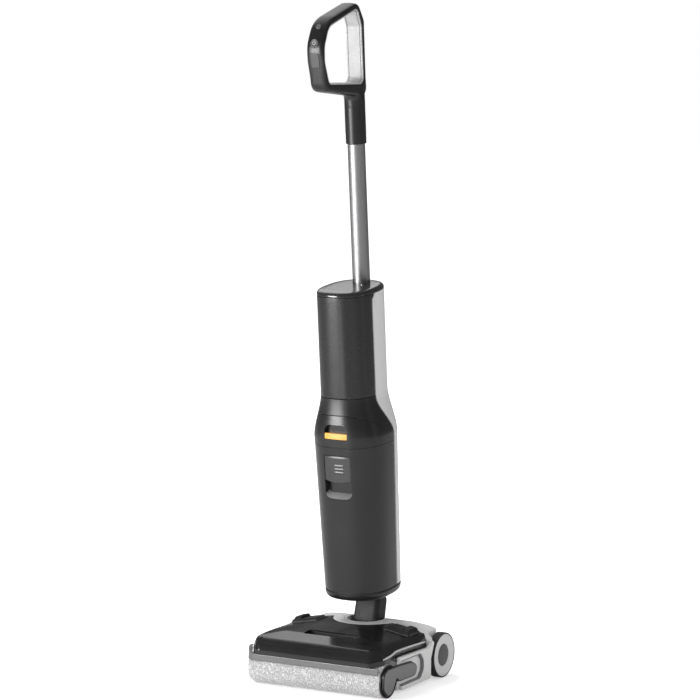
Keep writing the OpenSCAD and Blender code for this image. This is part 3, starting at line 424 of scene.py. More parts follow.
def make_settled_dust():
    """Mask of fine dust that lies on faces turned upward."""
    group, wire = new_group(
        "settled_dust",
        [("Amount", "Float", 0.2)],
        [("Mask", "Float")],
    )
    source = wire.add("NodeGroupInput")
    facing = wire.add("ShaderNodeSeparateXYZ", {0: wire.add("ShaderNodeNewGeometry").outputs["Normal"]})
    upward = wire.remap(facing.outputs["Z"], 0.2, 1.0)
    cloud = wire.noise(wire.place(), 35.0, 5.0, 0.6)
    drift = wire.maths("MULTIPLY", upward, wire.remap(cloud, 0.35, 0.75))
    sink = wire.add("NodeGroupOutput")
    wire.feed(sink.inputs["Mask"], wire.maths("MULTIPLY", drift, source.outputs["Amount"], clamp=True))
    return group


def make_fine_scuffs():
    """Mask of the thin rub marks on a hard glossy or metal surface."""
    group, wire = new_group(
        "fine_scuffs",
        [("Amount", "Float", 0.3), ("Stretch", "Float", 30.0)],
        [("Mask", "Float")],
    )
    source = wire.add("NodeGroupInput")
    where = wire.add("ShaderNodeTexCoord").outputs["Object"]
    lengths = wire.add("ShaderNodeCombineXYZ", {0: 900.0, 1: 900.0, 2: source.outputs["Stretch"]})
    drawn_out = wire.add("ShaderNodeVectorMath", {0: where, 1: lengths.outputs["Vector"]},
                         operation="MULTIPLY")
    lines = wire.noise(drawn_out.outputs["Vector"], 1.0, 1.0)
    patches = wire.noise(where, 25.0, 3.0)
    rubbed = wire.maths("MULTIPLY", wire.remap(lines, 0.62, 0.72), wire.remap(patches, 0.5, 0.65))
    sink = wire.add("NodeGroupOutput")
    wire.feed(sink.inputs["Mask"], wire.maths("MULTIPLY", rubbed, source.outputs["Amount"], clamp=True))
    return group


moulded_grain = make_moulded_grain()
edge_wear = make_edge_wear()
settled_dust = make_settled_dust()
fine_scuffs = make_fine_scuffs()


# ---- materials ----

def start_material(name):
    material = bpy.data.materials.new(name)
    material.use_nodes = True
    tree = material.node_tree
    tree.nodes.clear()
    wire = Wiring(tree)
    skin = wire.add("ShaderNodeBsdfPrincipled")
    out = wire.add("ShaderNodeOutputMaterial")
    tree.links.new(skin.outputs["BSDF"], out.inputs["Surface"])
    return material, wire, skin


def plastic(name, colour, rough, worn, grain=1800.0, depth=0.00001, wear=0.25, dust=0.04, coat=0.0,
            mottle=0.03, scuffs=0.08, metal=0.0, see_through=0.0):
    """Moulded or drawn surface: grain, mottle, rubbed edges, fine scuffs and a little dust."""
    material, wire, skin = start_material(name)
    mould = wire.add("ShaderNodeGroup", node_tree=moulded_grain)
    wire.feed(mould.inputs["Colour"], (*colour, 1))
    wire.feed(mould.inputs["Grain Size"], grain)
    wire.feed(mould.inputs["Mottle"], mottle)
    wire.feed(mould.inputs["Roughness"], rough)
    rubbed = wire.add("ShaderNodeGroup", node_tree=edge_wear)
    wire.feed(rubbed.inputs["Amount"], wear)
    film = wire.add("ShaderNodeGroup", node_tree=settled_dust)
    wire.feed(film.inputs["Amount"], dust)
    marks = wire.add("ShaderNodeGroup", node_tree=fine_scuffs)
    wire.feed(marks.inputs["Amount"], scuffs)
    shade = wire.blend(rubbed.outputs["Mask"], mould.outputs["Colour"], (*worn, 1))
    shade = wire.blend(marks.outputs["Mask"], shade, (*worn, 1))
    shade = wire.blend(film.outputs["Mask"], shade, (0.55, 0.53, 0.5, 1))
    wire.feed(skin.inputs["Base Color"], shade)
    dull = wire.maths("ADD", wire.maths("MULTIPLY", film.outputs["Mask"], 0.3),
                      wire.maths("MULTIPLY", marks.outputs["Mask"], 0.4))
    wire.feed(skin.inputs["Roughness"], wire.maths("ADD", mould.outputs["Roughness"], dull))
    bump = wire.add("ShaderNodeBump",
                    {"Height": mould.outputs["Height"], "Strength": 0.4, "Distance": depth})
    wire.feed(skin.inputs["Normal"], bump.outputs["Normal"])
    skin.inputs["Metallic"].default_value = metal
    skin.inputs["Coat Weight"].default_value = coat
    skin.inputs["Coat Roughness"].default_value = 0.05
    if see_through:
        skin.inputs["Transmission Weight"].default_value = see_through
        skin.inputs["IOR"].default_value = 1.46
    return material


white_moulding = plastic("white_moulding", (0.7, 0.7, 0.695), 0.36, (0.68, 0.67, 0.65))
pale_shell = plastic("pale_shell", (0.66, 0.66, 0.66), 0.32, (0.72, 0.72, 0.72))
charcoal_satin = plastic("charcoal_satin", (0.012, 0.012, 0.0123), 0.28, (0.07, 0.07, 0.07))
collar_satin = plastic("collar_satin", (0.012, 0.012, 0.0123), 0.34, (0.07, 0.07, 0.07))
# Status strip: its own dark grey, lifted above the handle's by a painted sheen for the light its front face
# reflects.
strip_satin_painted_sheen = plastic("strip_satin_painted_sheen", (0.06, 0.06, 0.06), 0.4, (0.12, 0.12, 0.12))
release_satin = plastic("release_satin", (0.04, 0.04, 0.04), 0.3, (0.11, 0.11, 0.11))
black_satin = plastic("black_satin", (0.008, 0.008, 0.008), 0.42, (0.05, 0.05, 0.05))
handle_satin = plastic("handle_satin", (0.01, 0.01, 0.01), 0.34, (0.07, 0.07, 0.07))
lining_grey = plastic("lining_grey", (0.38, 0.38, 0.38), 0.42, (0.7, 0.7, 0.7))
mid_grey = plastic("mid_grey", (0.17, 0.17, 0.172), 0.42, (0.3, 0.3, 0.3))
key_grey = plastic("key_grey", (0.1, 0.1, 0.1), 0.35, (0.2, 0.2, 0.2))
light_grey = plastic("light_grey", (0.58, 0.58, 0.58), 0.4, (0.7, 0.7, 0.7))
black_gloss = plastic("black_gloss", (0.012, 0.012, 0.013), 0.12, (0.05, 0.05, 0.05), coat=0.5)
cover_gloss = plastic("cover_gloss", (0.012, 0.012, 0.0125), 0.17, (0.05, 0.05, 0.05), coat=0.15, dust=0.02)
cap_gloss = plastic("cap_gloss", (0.02, 0.02, 0.021), 0.2, (0.06, 0.06, 0.06), coat=0.3)
smoked_tank = plastic("smoked_tank", (0.012, 0.012, 0.0123), 0.24, (0.07, 0.07, 0.07), mottle=0.8)
clear_strip = plastic("clear_strip", (0.19, 0.19, 0.19), 0.16, (0.5, 0.5, 0.5), see_through=0.3)
milky_tank = plastic("milky_tank", (0.5, 0.51, 0.52), 0.28, (0.6, 0.6, 0.6), see_through=0.3)
amber = plastic("amber", (0.84, 0.42, 0.07), 0.3, (0.95, 0.7, 0.4))
soft_rubber = plastic("soft_rubber", (0.02, 0.02, 0.02), 0.6, (0.06, 0.06, 0.06), dust=0.12)
pole_finish = plastic("pole_finish", (0.36, 0.36, 0.365), 0.42, (0.5, 0.5, 0.5), metal=1.0, scuffs=0.05)
bright_steel = plastic("bright_steel", (0.55, 0.55, 0.55), 0.28, (0.7, 0.7, 0.7), metal=1.0, scuffs=0.3)
brass = plastic("brass", (0.72, 0.5, 0.2), 0.28, (0.8, 0.6, 0.3), metal=1.0, scuffs=0.3)
rim_grey = plastic("rim_grey", (0.6, 0.6, 0.6), 0.36, (0.7, 0.7, 0.7))
hub_grey = plastic("hub_grey", (0.05, 0.05, 0.05), 0.4, (0.12, 0.12, 0.12))
neck_satin = plastic("neck_satin", (0.01, 0.01, 0.01), 0.62, (0.08, 0.08, 0.08))
green_board = plastic("green_board", (0.02, 0.15, 0.06), 0.4, (0.1, 0.2, 0.1))
cell_wrap = plastic("cell_wrap", (0.05, 0.15, 0.35), 0.35, (0.2, 0.3, 0.4))


def make_plush_pile():
    """Speckled short pile: pale fibres with darker ones between."""
    material, wire, skin = start_material("plush_pile")
    where = wire.place()
    tufts = wire.noise(where, 420.0, 3.0, 0.7)
    streaks = wire.noise(wire.place((1.0, 0.35, 0.35)), 800.0, 2.0)
    speckle = wire.maths("MULTIPLY", wire.remap(tufts, 0.42, 0.62), wire.remap(streaks, 0.35, 0.6))
    shade = wire.blend(speckle, (0.32, 0.32, 0.32, 1), (0.79, 0.79, 0.79, 1))
    wire.feed(skin.inputs["Base Color"], shade)
    skin.inputs["Roughness"].default_value = 0.95
    skin.inputs["Sheen Weight"].default_value = 0.4
    bump = wire.add("ShaderNodeBump", {"Height": tufts, "Strength": 0.9, "Distance": 0.0008})
    wire.feed(skin.inputs["Normal"], bump.outputs["Normal"])
    return material


def make_scoop_painted_light():
    """Smoked plastic of the thumb scoop, with painted light that grows paler towards its foot."""
    material, wire, skin = start_material("scoop_painted_light")
    height = wire.add("ShaderNodeSeparateXYZ", {0: wire.place()}).outputs["Z"]
    cloud = wire.noise(wire.place(), 60.0, 2.0)
    # dark is the smoked plastic; glow is the painted light's colour at the pocket's foot.
    top, bottom, dark, glow = 0.331, 0.302, (0.02, 0.02, 0.02, 1), (0.36, 0.36, 0.36, 1)
    drift = wire.remap(cloud, 0.3, 0.7, -0.08, 0.08)
    pale = wire.maths("ADD", wire.remap(height, top, bottom), drift, clamp=True)
    wire.feed(skin.inputs["Base Color"], wire.blend(pale, dark, glow))
    skin.inputs["Roughness"].default_value = 0.25
    return material


plush_pile = make_plush_pile()
scoop_painted_light = make_scoop_painted_light()
finishes = {
    "white_shell": white_moulding, "charcoal_shell": charcoal_satin, "black_plastic": black_satin,
    "grey_plastic": mid_grey, "light_grey_plastic": light_grey, "gloss_black": black_gloss,
    "smoked_clear": smoked_tank, "clear_strip": clear_strip, "milky_clear": milky_tank,
    "amber_plastic": amber, "rubber": soft_rubber, "tyre": soft_rubber, "plush": plush_pile,
    "pole_metal": pole_finish, "steel": bright_steel, "brass_contact": brass, "board": green_board,
    "cell_wrap": cell_wrap,
}
for node, slot_name in slot_of.items():
    coloured(nodes[node], finishes[slot_name])


# ---- the upright's skin ----

def skin_at(w):
    """Half width, front and rear of the upright at a height."""
    if w <= WIDE_W:
        t = max(0.0, (w - TANK_FOOT) / (WIDE_W - TANK_FOOT))
        return 57 + 5.5 * t, -66 - 10 * t, 64.0
    t = min(1.0, (w - WIDE_W) / (TUBE_FOOT - WIDE_W))
    t = 0.45 * t + 0.55 * eased(t)
    return 62.5 - 15.5 * t, -76 + 7 * t, 64 - 7 * t


def split_at(w):
    """Where the front and the rear shells meet at a height."""
    return SPLIT_LOW + (SPLIT_HIGH - SPLIT_LOW) * eased(w, WIDE_W - 6, TUBE_FOOT - 4)


def skin_line(w, rear, gap):
    """Line round the front or the rear of the upright, from one split edge to the other."""
    hx, front, back = skin_at(w)
    middle, half = (front + back) / 2, (back - front) / 2
    edge = split_at(w) + (gap if rear else -gap)
    reach = max(-1.0, min(1.0, (edge - middle) / half))
    t = asin(flattened(reach, 1.25))
    t = np.linspace(t, pi - t, 241) if rear else np.linspace(pi - t, 2 * pi + t, 241)
    x = hx * flattened(np.cos(t), SKIN_POWER)
    v = middle + half * flattened(np.sin(t), SKIN_POWER)
    return x, v, np.concatenate([[0.0], np.cumsum(np.hypot(np.diff(x), np.diff(v)))])


def skin_point(w, share, rear, gap):
    """Point on that line at a share of its length."""
    x, v, along = skin_line(w, rear, gap)
    s = share * along[-1]
    return float(np.interp(s, along, x)), float(np.interp(s, along, v)), w


def skin_heights(low, high, step=9.0):
    """Heights for the rows of a shell, close together in the flare."""
    marks = [low, high]
    marks += [w for w in np.arange(WIDE_W - 8, TUBE_FOOT + 8, 4.0) if low < w < high]
    marks = sorted(marks)
    filled = []
    for a, b in zip(marks, marks[1:]):
        parts = max(1, int((b - a) / step))
        filled += [a + (b - a) * k / parts for k in range(parts)]
    return filled + [high]


def skin_shell(low, high, rear=False, wall=WALL, edge_gap=None):
    """Shell between two heights, each a number or a function of the share across."""
    columns = 72
    low_at = low if callable(low) else lambda share: low
    high_at = high if callable(high) else lambda share: high
    heights = skin_heights(min(low_at(0.0), low_at(0.5)), max(high_at(0.0), high_at(0.5)))
    spans = [(w - heights[0]) / (heights[-1] - heights[0]) for w in heights]
    rows = []
    for span in spans:
        row = []
        for c in range(columns + 1):
            share = c / columns
            w = low_at(share) + (high_at(share) - low_at(share)) * span
            row.append(skin_point(w, share, rear, edge_gap(w) if edge_gap else SPLIT_GAP))
        rows.append(row)
    return thick(rows_body(rows, UPRIGHT), wall)


def skin_solid(low, high, inset=0.0):
    """Closed solid of the upright between two heights."""
    rows = []
    for w in skin_heights(low, high):
        hx, front, back = skin_at(w)
        rows.append(oval(hx - inset, front + inset, back - inset, w, 120))
    return rows_body(rows, UPRIGHT, around=True, ends=True)


def front_pocket(corners, v_deep, taper=0.0, lift=0.0):
    """Cutter for a pocket in the upright's front, drawn in (x, w); it narrows inward by a taper."""
    outline = rounded(corners)
    middle = sum(p[0] for p in outline) / len(outline)
    brow = max(p[1] for p in outline)
    sill = min(p[1] for p in outline)
    rows = []
    for v, shrink, rise in ((v_deep, taper, lift), (CLEAR_V, 0.0, 0.0)):
        row = []
        for x, w in outline:
            inward = np.sign(x - middle) * shrink * min(1.0, abs(x - middle) / 10)
            row.append((x - inward, v, w + rise * ((brow - w) / (brow - sill)) ** 2))
        rows.append(row)
    return rows_body(rows, UPRIGHT, around=True, ends=True)


def pocketed(shell, corners, v_deep, **shape):
    """A shell with a pocket that has its own walls and floor."""
    low, high = min(c[1] for c in corners), max(c[1] for c in corners)
    reach = max(abs(c[0]) for c in corners) + WALL
    lining = skin_solid(low - 3, high + 3, 0.05)
    box = block(-reach, reach, CLEAR_V, v_deep + WALL, low - WALL, high + WALL, UPRIGHT)
    cut(lining, box, keep=True)
    merged(shell, lining)
    return cut(shell, front_pocket(corners, v_deep, **shape))


# ---- the upright ----

def make_upper_tube():
    shell = skin_shell(TUBE_FOOT + 0.5, CAP_FOOT - 0.3)
    return piece("upper_tube_shell", coloured(softened(shell, 0.6), charcoal_satin), "upper_tube")


def collar_edge(share):
    """The collar's lower edge sweeps down towards the split."""
    return COLLAR_FOOT - 30 * eased(abs(2 * share - 1), 0.25, 1.1)


def make_collar():
    shell = skin_shell(collar_edge, TUBE_FOOT - 0.2)
    return piece("collar_band", coloured(softened(shell, 0.5), collar_satin), "collar")


def make_tank_lid():
    shell = skin_shell(LID_FOOT + 0.3, lambda share: collar_edge(share) - 0.7, wall=3.2)
    recess = [(-RECESS_HX, RECESS_LOW, 0.8), (RECESS_HX, RECESS_LOW, 0.8), (RECESS_HX, RECESS_HIGH, 11),
              (-RECESS_HX, RECESS_HIGH, 11)]
    pocketed(shell, recess, -64)
    return piece("tank_lid_shell", coloured(softened(shell, 0.7), charcoal_satin), "tank_lid", angle=30)


def make_lid_catch():
    bar_hx, foot = RECESS_HX - 0.5, RECESS_LOW + 0.4
    bar = drawn([oblong(-bar_hx, bar_hx, foot, foot + 9.2, 1.2)], 64.6, 90, 0.6, facing_front(0, 0))
    cut(bar, skin_solid(360, 380, 1.0), keep=True)
    softened(bar, 0.6, 3)
    return piece("lid_catch_bar", coloured(bar, amber), "lid_catch")


def make_dirty_tank():
    shell = skin_shell(TANK_FOOT + 0.4, LID_FOOT - 0.3, wall=2.6)
    scoop = [(-THUMB_HX, THUMB_LOW, 10), (THUMB_HX, THUMB_LOW, 10), (THUMB_HX, THUMB_HIGH, 5),
             (-THUMB_HX, THUMB_HIGH, 5)]
    pocketed(shell, scoop, THUMB_V, taper=3.5, lift=20)
    softened(shell, 0.8)
    coloured(shell, smoked_tank)
    # The pocket's upward-facing faces take the scoop's painted light.
    shell.data.materials.append(scoop_painted_light)
    to_upright = UPRIGHT.inverted()
    for face in shell.data.polygons:
        x, v, w = to_upright @ (face.center / MM)
        inside = abs(x) < THUMB_HX + 0.4 and THUMB_LOW - 1 < w < THUMB_HIGH + 1 and v < THUMB_V + 2
        if inside and face.normal.z > 0.2:
            face.material_index = 1
    return piece("dirty_tank_shell", shell, "dirty_tank", angle=30)


def make_tank_release():
    """Thumb plate with three short ribs and a bowed lower edge."""
    rows, columns, lines = 66, 48, []
    rib_low, rib_high, rib_x, rib_hx, rib_pitch = 305, 322, 4, 8.5, 5.66
    for r in range(rows + 1):
        row = []
        for c in range(columns + 1):
            across_plate = 2 * c / columns - 1
            x = 25.8 * across_plate
            low = 294.5 - 3.5 * (1 - across_plate ** 2)
            w = low + (335.9 - low) * r / rows
            hx, front, back = skin_at(w)
            middle, half = (front + back) / 2, (back - front) / 2
            v = middle - half * (1 - (abs(x) / hx) ** 2.5) ** 0.4
            corner = max(0.0, abs(across_plate) - 0.86) / 0.14
            v += 0.9 + 1.2 * corner ** 3 + max(0.0, r / rows - 0.93) / 0.07
            if rib_low < w < rib_high and abs(x - rib_x) < rib_hx:
                v -= 0.6 * (0.5 + 0.5 * cos(2 * pi * (w - rib_low) / rib_pitch + pi))
            row.append((x, v, w))
        lines.append(row)
    plate = softened(thick(rows_body(lines, UPRIGHT), 3.0), 0.8, 2, 50)
    posts = [stud(2.5, 0, 14, 0.3, 0.3, standing(-72, 317, x) @ Matrix.Rotation(radians(-90), 4, "X"), 24)
             for x in (-14, 14)]
    joined(plate, *posts)
    return piece("tank_release_plate", coloured(plate, release_satin), "tank_release", angle=45)


def make_rear_shell():
    corner = 9.0

    def edge_gap(w):
        """The split's gap, which opens with a round corner at the top."""
        short = max(0.0, w - (CAP_FOOT - 0.3 - corner))
        opening = corner - sqrt(max(0.0, corner * corner - short * short))
        return SPLIT_GAP - 1.8 * eased(w, WIDE_W, TUBE_FOOT) + opening

    shell = skin_shell(TANK_FOOT + 0.4, CAP_FOOT - 0.3, rear=True, edge_gap=edge_gap)
    window = oblong(-WINDOW_HX, WINDOW_HX, WINDOW_LOW, WINDOW_HIGH, 6)
    cut(shell, drawn([window], CLEAR_V, -25, 0.1, facing_front(0, 0)))
    return piece("rear_shell_moulding", coloured(softened(shell, 0.8), pale_shell), "rear_shell")


def make_spine():
    """Black frame between the shells; its edge shows in the gap between them."""
    def strip(side):
        rows = []
        for w in skin_heights(TANK_FOOT, CAP_FOOT - 1.5):
            hx, front, back = skin_at(w)
            middle, half = (front + back) / 2, (back - front) / 2
            row = []
            for v in (split_at(w) - 6, split_at(w) + 6):
                row.append((side * (hx - 1.6) * (1 - (abs(v - middle) / half) ** 2.5) ** 0.4, v, w))
            rows.append(row[::side])
        return thick(rows_body(rows, UPRIGHT), 2.2)

    deck_low, deck_high = 100.6, 102.6
    left, right = strip(-1), strip(1)
    wall = softened(block(-50, 50, 13.2, 16.8, deck_low, 350, UPRIGHT), 0.8)
    deck = cut(skin_solid(deck_low, deck_high, 1.5), stud(15, 90, 110, 0.1, 0.1, standing(38, 0), 48, 2))
    return piece("inner_frame", coloured(joined(left, right, wall, deck), black_satin), "spine")


def stepped_cap(hx, front, back, foot, steps, count, way=1):
    """Cap of the upright from (height, inset) steps; way is -1 where they run downward."""
    rows = [oval(hx - inset, front + inset, back - inset, foot + rise, count)[::way]
            for rise, inset in steps]
    return rows_body(rows, UPRIGHT, around=True, ends=True)


def make_top_cap():
    steps = [(0, 1.2), (0.3, 0.4), (0.9, 0.0), (2.6, 0.0), (4.2, 0.5), (5.6, 1.4), (6.8, 2.8), (7.4, 4.2),
             (7.9, 7.5), (7.9, 16.0), (7.9, 30.0)]
    cap = stepped_cap(47, -69, 57, CAP_FOOT, steps, 144)
    reach = POLE_R + 0.3
    hole = drawn([oblong(-reach, reach, -reach, reach, POLE_R, 12)], CAP_FOOT - 3, CAP_FOOT + 12, 0.01,
                 standing(POLE_V, 0))
    pin_hole = turned([(0.01, -8), (5.0, -8), (5.0, 1.2), (3.3, 1.2), (3.3, 12), (0.01, 12)],
                      standing(POLE_V - 22, CAP_FOOT, 14), 32)
    cut(cap, hole, pin_hole)
    return piece("top_cap_moulding", coloured(softened(cap, 0.5, 2, 50), cap_gloss), "top_cap", angle=30)


def make_base_cap():
    steps = [(-2.6, 0.0), (-4.0, 0.0), (-8.0, 0.6), (-11.0, 1.8), (-13.2, 3.8), (-14.6, 6.4), (-15.4, 9.0),
             (-16.0, 14.0)]
    cap = stepped_cap(57, -66, 64, TANK_FOOT, steps, 132, -1)
    bore = 15.4
    boss = turned(rounded([(bore, 80, 0.5), (26, 80, 1.5), (26, 93, 1), (bore, 93, 0.5)], 3), NECK, 96)
    cut(cap, plug(bore, 60, 120, NECK, 64))
    joined(cap, boss)
    return piece("base_moulding", coloured(cap, charcoal_satin), "base_cap", angle=50)


def make_clean_tank():
    """Tank at the back, with a finger pocket; it fills the rear shell's window."""
    gap = 0.4
    hx = WINDOW_HX - gap
    tank = drawn([oblong(-hx, hx, WINDOW_LOW + gap, WINDOW_HIGH - gap, 5.6, 6)], CLEAR_V, -17.4, 0.1,
                 facing_front(0, 0))
    cut(tank, skin_solid(110, 385, 0.3), keep=True)
    finger_pocket = drawn([oblong(-22, 22, 334, 360, 7, 6)], CLEAR_V, -49, 3.0, facing_front(0, 0))
    cut(tank, finger_pocket, block(-36, 36, 17, 57.6, 364.5, 390, UPRIGHT))
    softened(tank, 1.2, 2, 40)
    return piece("clean_tank_body", coloured(tank, milky_tank), "clean_tank", angle=30)


# ---- pole and handle ----

LOOP_FOOT = SLEEVE_FOOT + 62
LOOP_OUTER = [
    (48.2, LOOP_FOOT + 11, 14), (-84, LOOP_FOOT + 38.5, 18), (-94.5, LOOP_FOOT + 112.5, 40),
    (-70, LOOP_FOOT + 152.5, 50), (31, LOOP_FOOT + 170, 17), (49.5, LOOP_FOOT + 138, 20),
    (48.5, LOOP_FOOT + 56, 30),
]
LOOP_INNER = [
    (27, LOOP_FOOT + 36, 12), (-74, LOOP_FOOT + 49.5, 12), (-86, LOOP_FOOT + 87.5, 30),
    (-84.5, LOOP_FOOT + 112.5, 30), (-68, LOOP_FOOT + 142.5, 25), (27, LOOP_FOOT + 160.5, 13),
    (38.8, LOOP_FOOT + 129.5, 13), (38.8, LOOP_FOOT + 38, 12),
]
LOOP_STATIONS = 360
GRIP_HX, SLEEVE_R = 15.0, POLE_R + 2.5
POWER_PLACE = facing_front(-91.3, LOOP_FOOT + 117.8, 20.0)
MODE_PLACE = facing_front(-75.7, LOOP_FOOT + 142.4, 44.0)
STRIP_PLACE = facing_front(-84, LOOP_FOOT + 38.5, -8.1)
POWER_R, MODE_R, KEY_FOOT, SEAT_FOOT, KEY_GAP = 7.0, 4.5, -3.3, -4.9, 0.3


def inset_outline(outline, by):
    """A closed outline moved inward everywhere."""
    points = [Vector(p) for p in outline]
    area = sum(a.x * b.y - b.x * a.y for a, b in zip(points, points[1:] + points[:1]))
    side = 1 if area > 0 else -1
    moved = []
    for i, p in enumerate(points):
        a = (p - points[i - 1]).normalized()
        b = (points[(i + 1) % len(points)] - p).normalized()
        normal = Vector((-(a.y + b.y), a.x + b.x)).normalized() * side
        moved.append(tuple(p + normal * by / max(0.5, normal.dot(Vector((-a.y, a.x)) * side))))
    return moved


def make_pole():
    bore = POLE_R - 1.2
    tube = turned(rounded([(bore, 0, 0.2), (POLE_R, 0, 0.3), (POLE_R, 382, 0.3), (bore, 382, 0.2)], 3),
                  standing(POLE_V, 513.5), 96)
    return piece("pole_tube", coloured(tube, pole_finish), "pole")


def reach_to(outline, start, heading):
    """Distance from a point along a heading to a closed outline."""
    best = 1e9
    for a, b in zip(outline, outline[1:] + outline[:1]):
        ax, ay, bx, by = a[0] - start[0], a[1] - start[1], b[0] - start[0], b[1] - start[1]
        turn = heading[0] * (by - ay) - heading[1] * (bx - ax)
        if abs(turn) < 1e-9:
            continue
        far = (ax * (by - ay) - ay * (bx - ax)) / turn
        share = (ax * heading[1] - ay * heading[0]) / turn
        if far > 0.5 and -1e-6 <= share <= 1 + 1e-6:
            best = min(best, far)
    return best


def grip_body():
    """Grip round in section outside and flat inside, swept round the opening."""
    outer = rounded(LOOP_OUTER, 16)
    inner = evenly(rounded(LOOP_INNER, 16), LOOP_STATIONS, True)
    rows = []
    for i, p in enumerate(inner):
        along = Vector(inner[(i + 1) % LOOP_STATIONS]) - Vector(inner[i - 1])
        out = Vector((along.y, -along.x)).normalized()
        if reach_to(inner, p, out) < 1000:
            out = -out
        depth = reach_to(outer, p, out)
        curve = min(7.0, depth - 2.0)
        section = []
        for k in range(29):
            t = pi * k / 28
            section.append((GRIP_HX * flattened(cos(t), 0.62), depth - curve + curve * sin(t) ** 0.62))
        section += [(-GRIP_HX, 1.2), (-14.6, 0.4), (-13.8, 0), (13.8, 0), (14.6, 0.4), (GRIP_HX, 1.2)]
        rows.append([(x, p[0] + out.x * a, p[1] + out.y * a) for x, a in section])
    return rows_body(rows, UPRIGHT, around=True, endless=True)


def stem_body():
    """Round at the sleeve, and flared forward into the grip."""
    steps = [(-3, 0), (10, 0), (15, 1), (18, 2.7), (21, 6), (23.5, 11), (25.5, 18.5), (27.5, 28.5)]
    rows = []
    for rise, flare in steps:
        share = eased(rise, 8, 28)
        rows.append(oval(SLEEVE_R - 1.8 * share, POLE_V - SLEEVE_R - flare, 48.5, LOOP_FOOT + rise, 96,
                         1 - 0.35 * share))
    return rows_body(rows, UPRIGHT, around=True, ends=True)


def make_handle_shell():
    """Loop with the seats of the two keys and the strip, its stem and its sleeve."""
    bore = POLE_R + 0.02
    sleeve = turned(rounded([(bore, 0, 0.3), (SLEEVE_R, 0, 1.2), (SLEEVE_R, 66, 0.3), (bore, 66, 0.3)], 4),
                    standing(POLE_V, SLEEVE_FOOT), 96)
    loop = cut(grip_body(), plug(POWER_R + KEY_GAP, SEAT_FOOT, 6, POWER_PLACE, 72),
               plug(MODE_R + KEY_GAP, SEAT_FOOT, 6, MODE_PLACE, 56),
               drawn([oblong(-7.8, 7.8, 40, 63.5, 3)], -1.6, 20, 0.1, STRIP_PLACE))
    joined(loop, stem_body(), sleeve)
    return piece("handle_loop", coloured(loop, handle_satin), "handle_shell", angle=40)


def make_handle_lining():
    """Pale lining with a groove along each edge."""
    inner = evenly(rounded(LOOP_INNER, 16), LOOP_STATIONS, True)
    levels = {depth: inset_outline(inner, depth) for depth in (0.05, 1.1, 1.7, 2.2)}
    section = [(14.4, 0.05), (14.4, 1.7), (13.9, 2.2), (12.0, 2.2), (11.7, 1.1), (10.7, 1.1), (10.4, 2.2)]
    section += [(-x, depth) for x, depth in reversed(section)]
    rows = [[(x, *levels[depth][i]) for x, depth in section] for i in range(LOOP_STATIONS)]
    ring = rows_body(rows, UPRIGHT, around=True, endless=True)
    return piece("handle_lining_band", coloured(ring, lining_grey), "handle_lining", angle=30)


def ring_mark(radius, width, height, place, start, sweep, turns=48):
    """Thin raised arc, such as the mark on a key."""
    rows = []
    for k in range(turns + 1):
        t = start + sweep * k / turns
        rows.append([((radius + side * width / 2) * cos(t), (radius + side * width / 2) * sin(t), h)
                     for side, h in ((-1, 0), (-1, height), (1, height), (1, 0))])
    return rows_body(rows, place, around=True, ends=True)


def make_power_button():
    key = turned(rounded([(0.01, KEY_FOOT, 0.004), (POWER_R, KEY_FOOT, 0.3), (POWER_R, 1.3, 1.0),
                          (4.5, 0.95, 2), (0.01, 0.9, 0.004)], 4), POWER_PLACE, 72)
    coloured(key, key_grey)
    arc = coloured(ring_mark(2.6, 0.6, 1.12, POWER_PLACE, radians(120), radians(300)), light_grey)
    dash = coloured(block(-0.3, 0.3, 0.8, 3.6, 0.5, 1.12, POWER_PLACE), light_grey)
    return piece("power_key", joined(key, arc, dash), "power_button", angle=30)


def make_mode_button():
    key = turned(rounded([(0.01, KEY_FOOT, 0.004), (MODE_R, KEY_FOOT, 0.3), (MODE_R, 1.5, 0.9),
                          (2.5, 1.2, 1.5), (0.01, 1.15, 0.004)], 4), MODE_PLACE, 56)
    return piece("mode_key", coloured(key, key_grey), "mode_button", angle=30)


def make_status_strip():
    # The strip's grey is partly painted sheen.
    strip = drawn([oblong(-7.5, 7.5, 40.3, 63.2, 2.8)], -1.2, 0.6, 0.5, STRIP_PLACE)
    return piece("status_window", coloured(strip, strip_satin_painted_sheen), "status_strip")


# ---- the floor head ----

LEG_X, LEG_BACK, TRAY_TOP, TRAY_BACK, ARCH_R, FALL = 112.0, 112.0, 54.0, 54.0, 39.1, 0.02
SLOT_HX, CORE_R = 24.5, 36.2
WELL_X0, WELL_X1, WELL_Y0, WELL_Y1 = 61.6, 112.4, 4.6, 45.4
PAD_X0, PAD_X1, PAD_Y0, PAD_Y1 = 62.3, 111.7, 5.3, 44.7


def smooth_min(a, b, blend):
    """The lower of two heights, with a round blend where they cross."""
    h = max(blend - abs(a - b), 0.0) / blend
    return min(a, b) - h * h * blend / 4


def there_and_back(t):
    """Runs from 0 up to 1 at half way, and back to 0."""
    return 2 * t if t < 0.5 else 2 - 2 * t


def crown_top(x):
    """The cover's arch across the head."""
    x = abs(x)
    return 101 - 9.5 * (x / 62) ** 2 if x < 62 else 91.5 - 0.19 * (x - 62)


def cover_top(x, y):
    """Height of the cover, from its crest at the front back to the deck."""
    side = float(np.interp(y, [CREST_Y, -66, 8, 120], [CREST_Z, CREST_Z + 6, DECK_TOP, DECK_TOP]))
    return smooth_min(side, crown_top(x) - FALL * y, 4.0)


def cover_foot(y):
    """Height of the cover's lower edge."""
    return float(np.interp(y, [-118, -112, -100, -88, -76, -66, -58, -45, -11, 52],
                           [53.5, 54.2, 56, 57, 57.5, 60, 63.4, 64.2, 63.2, 59.6]))


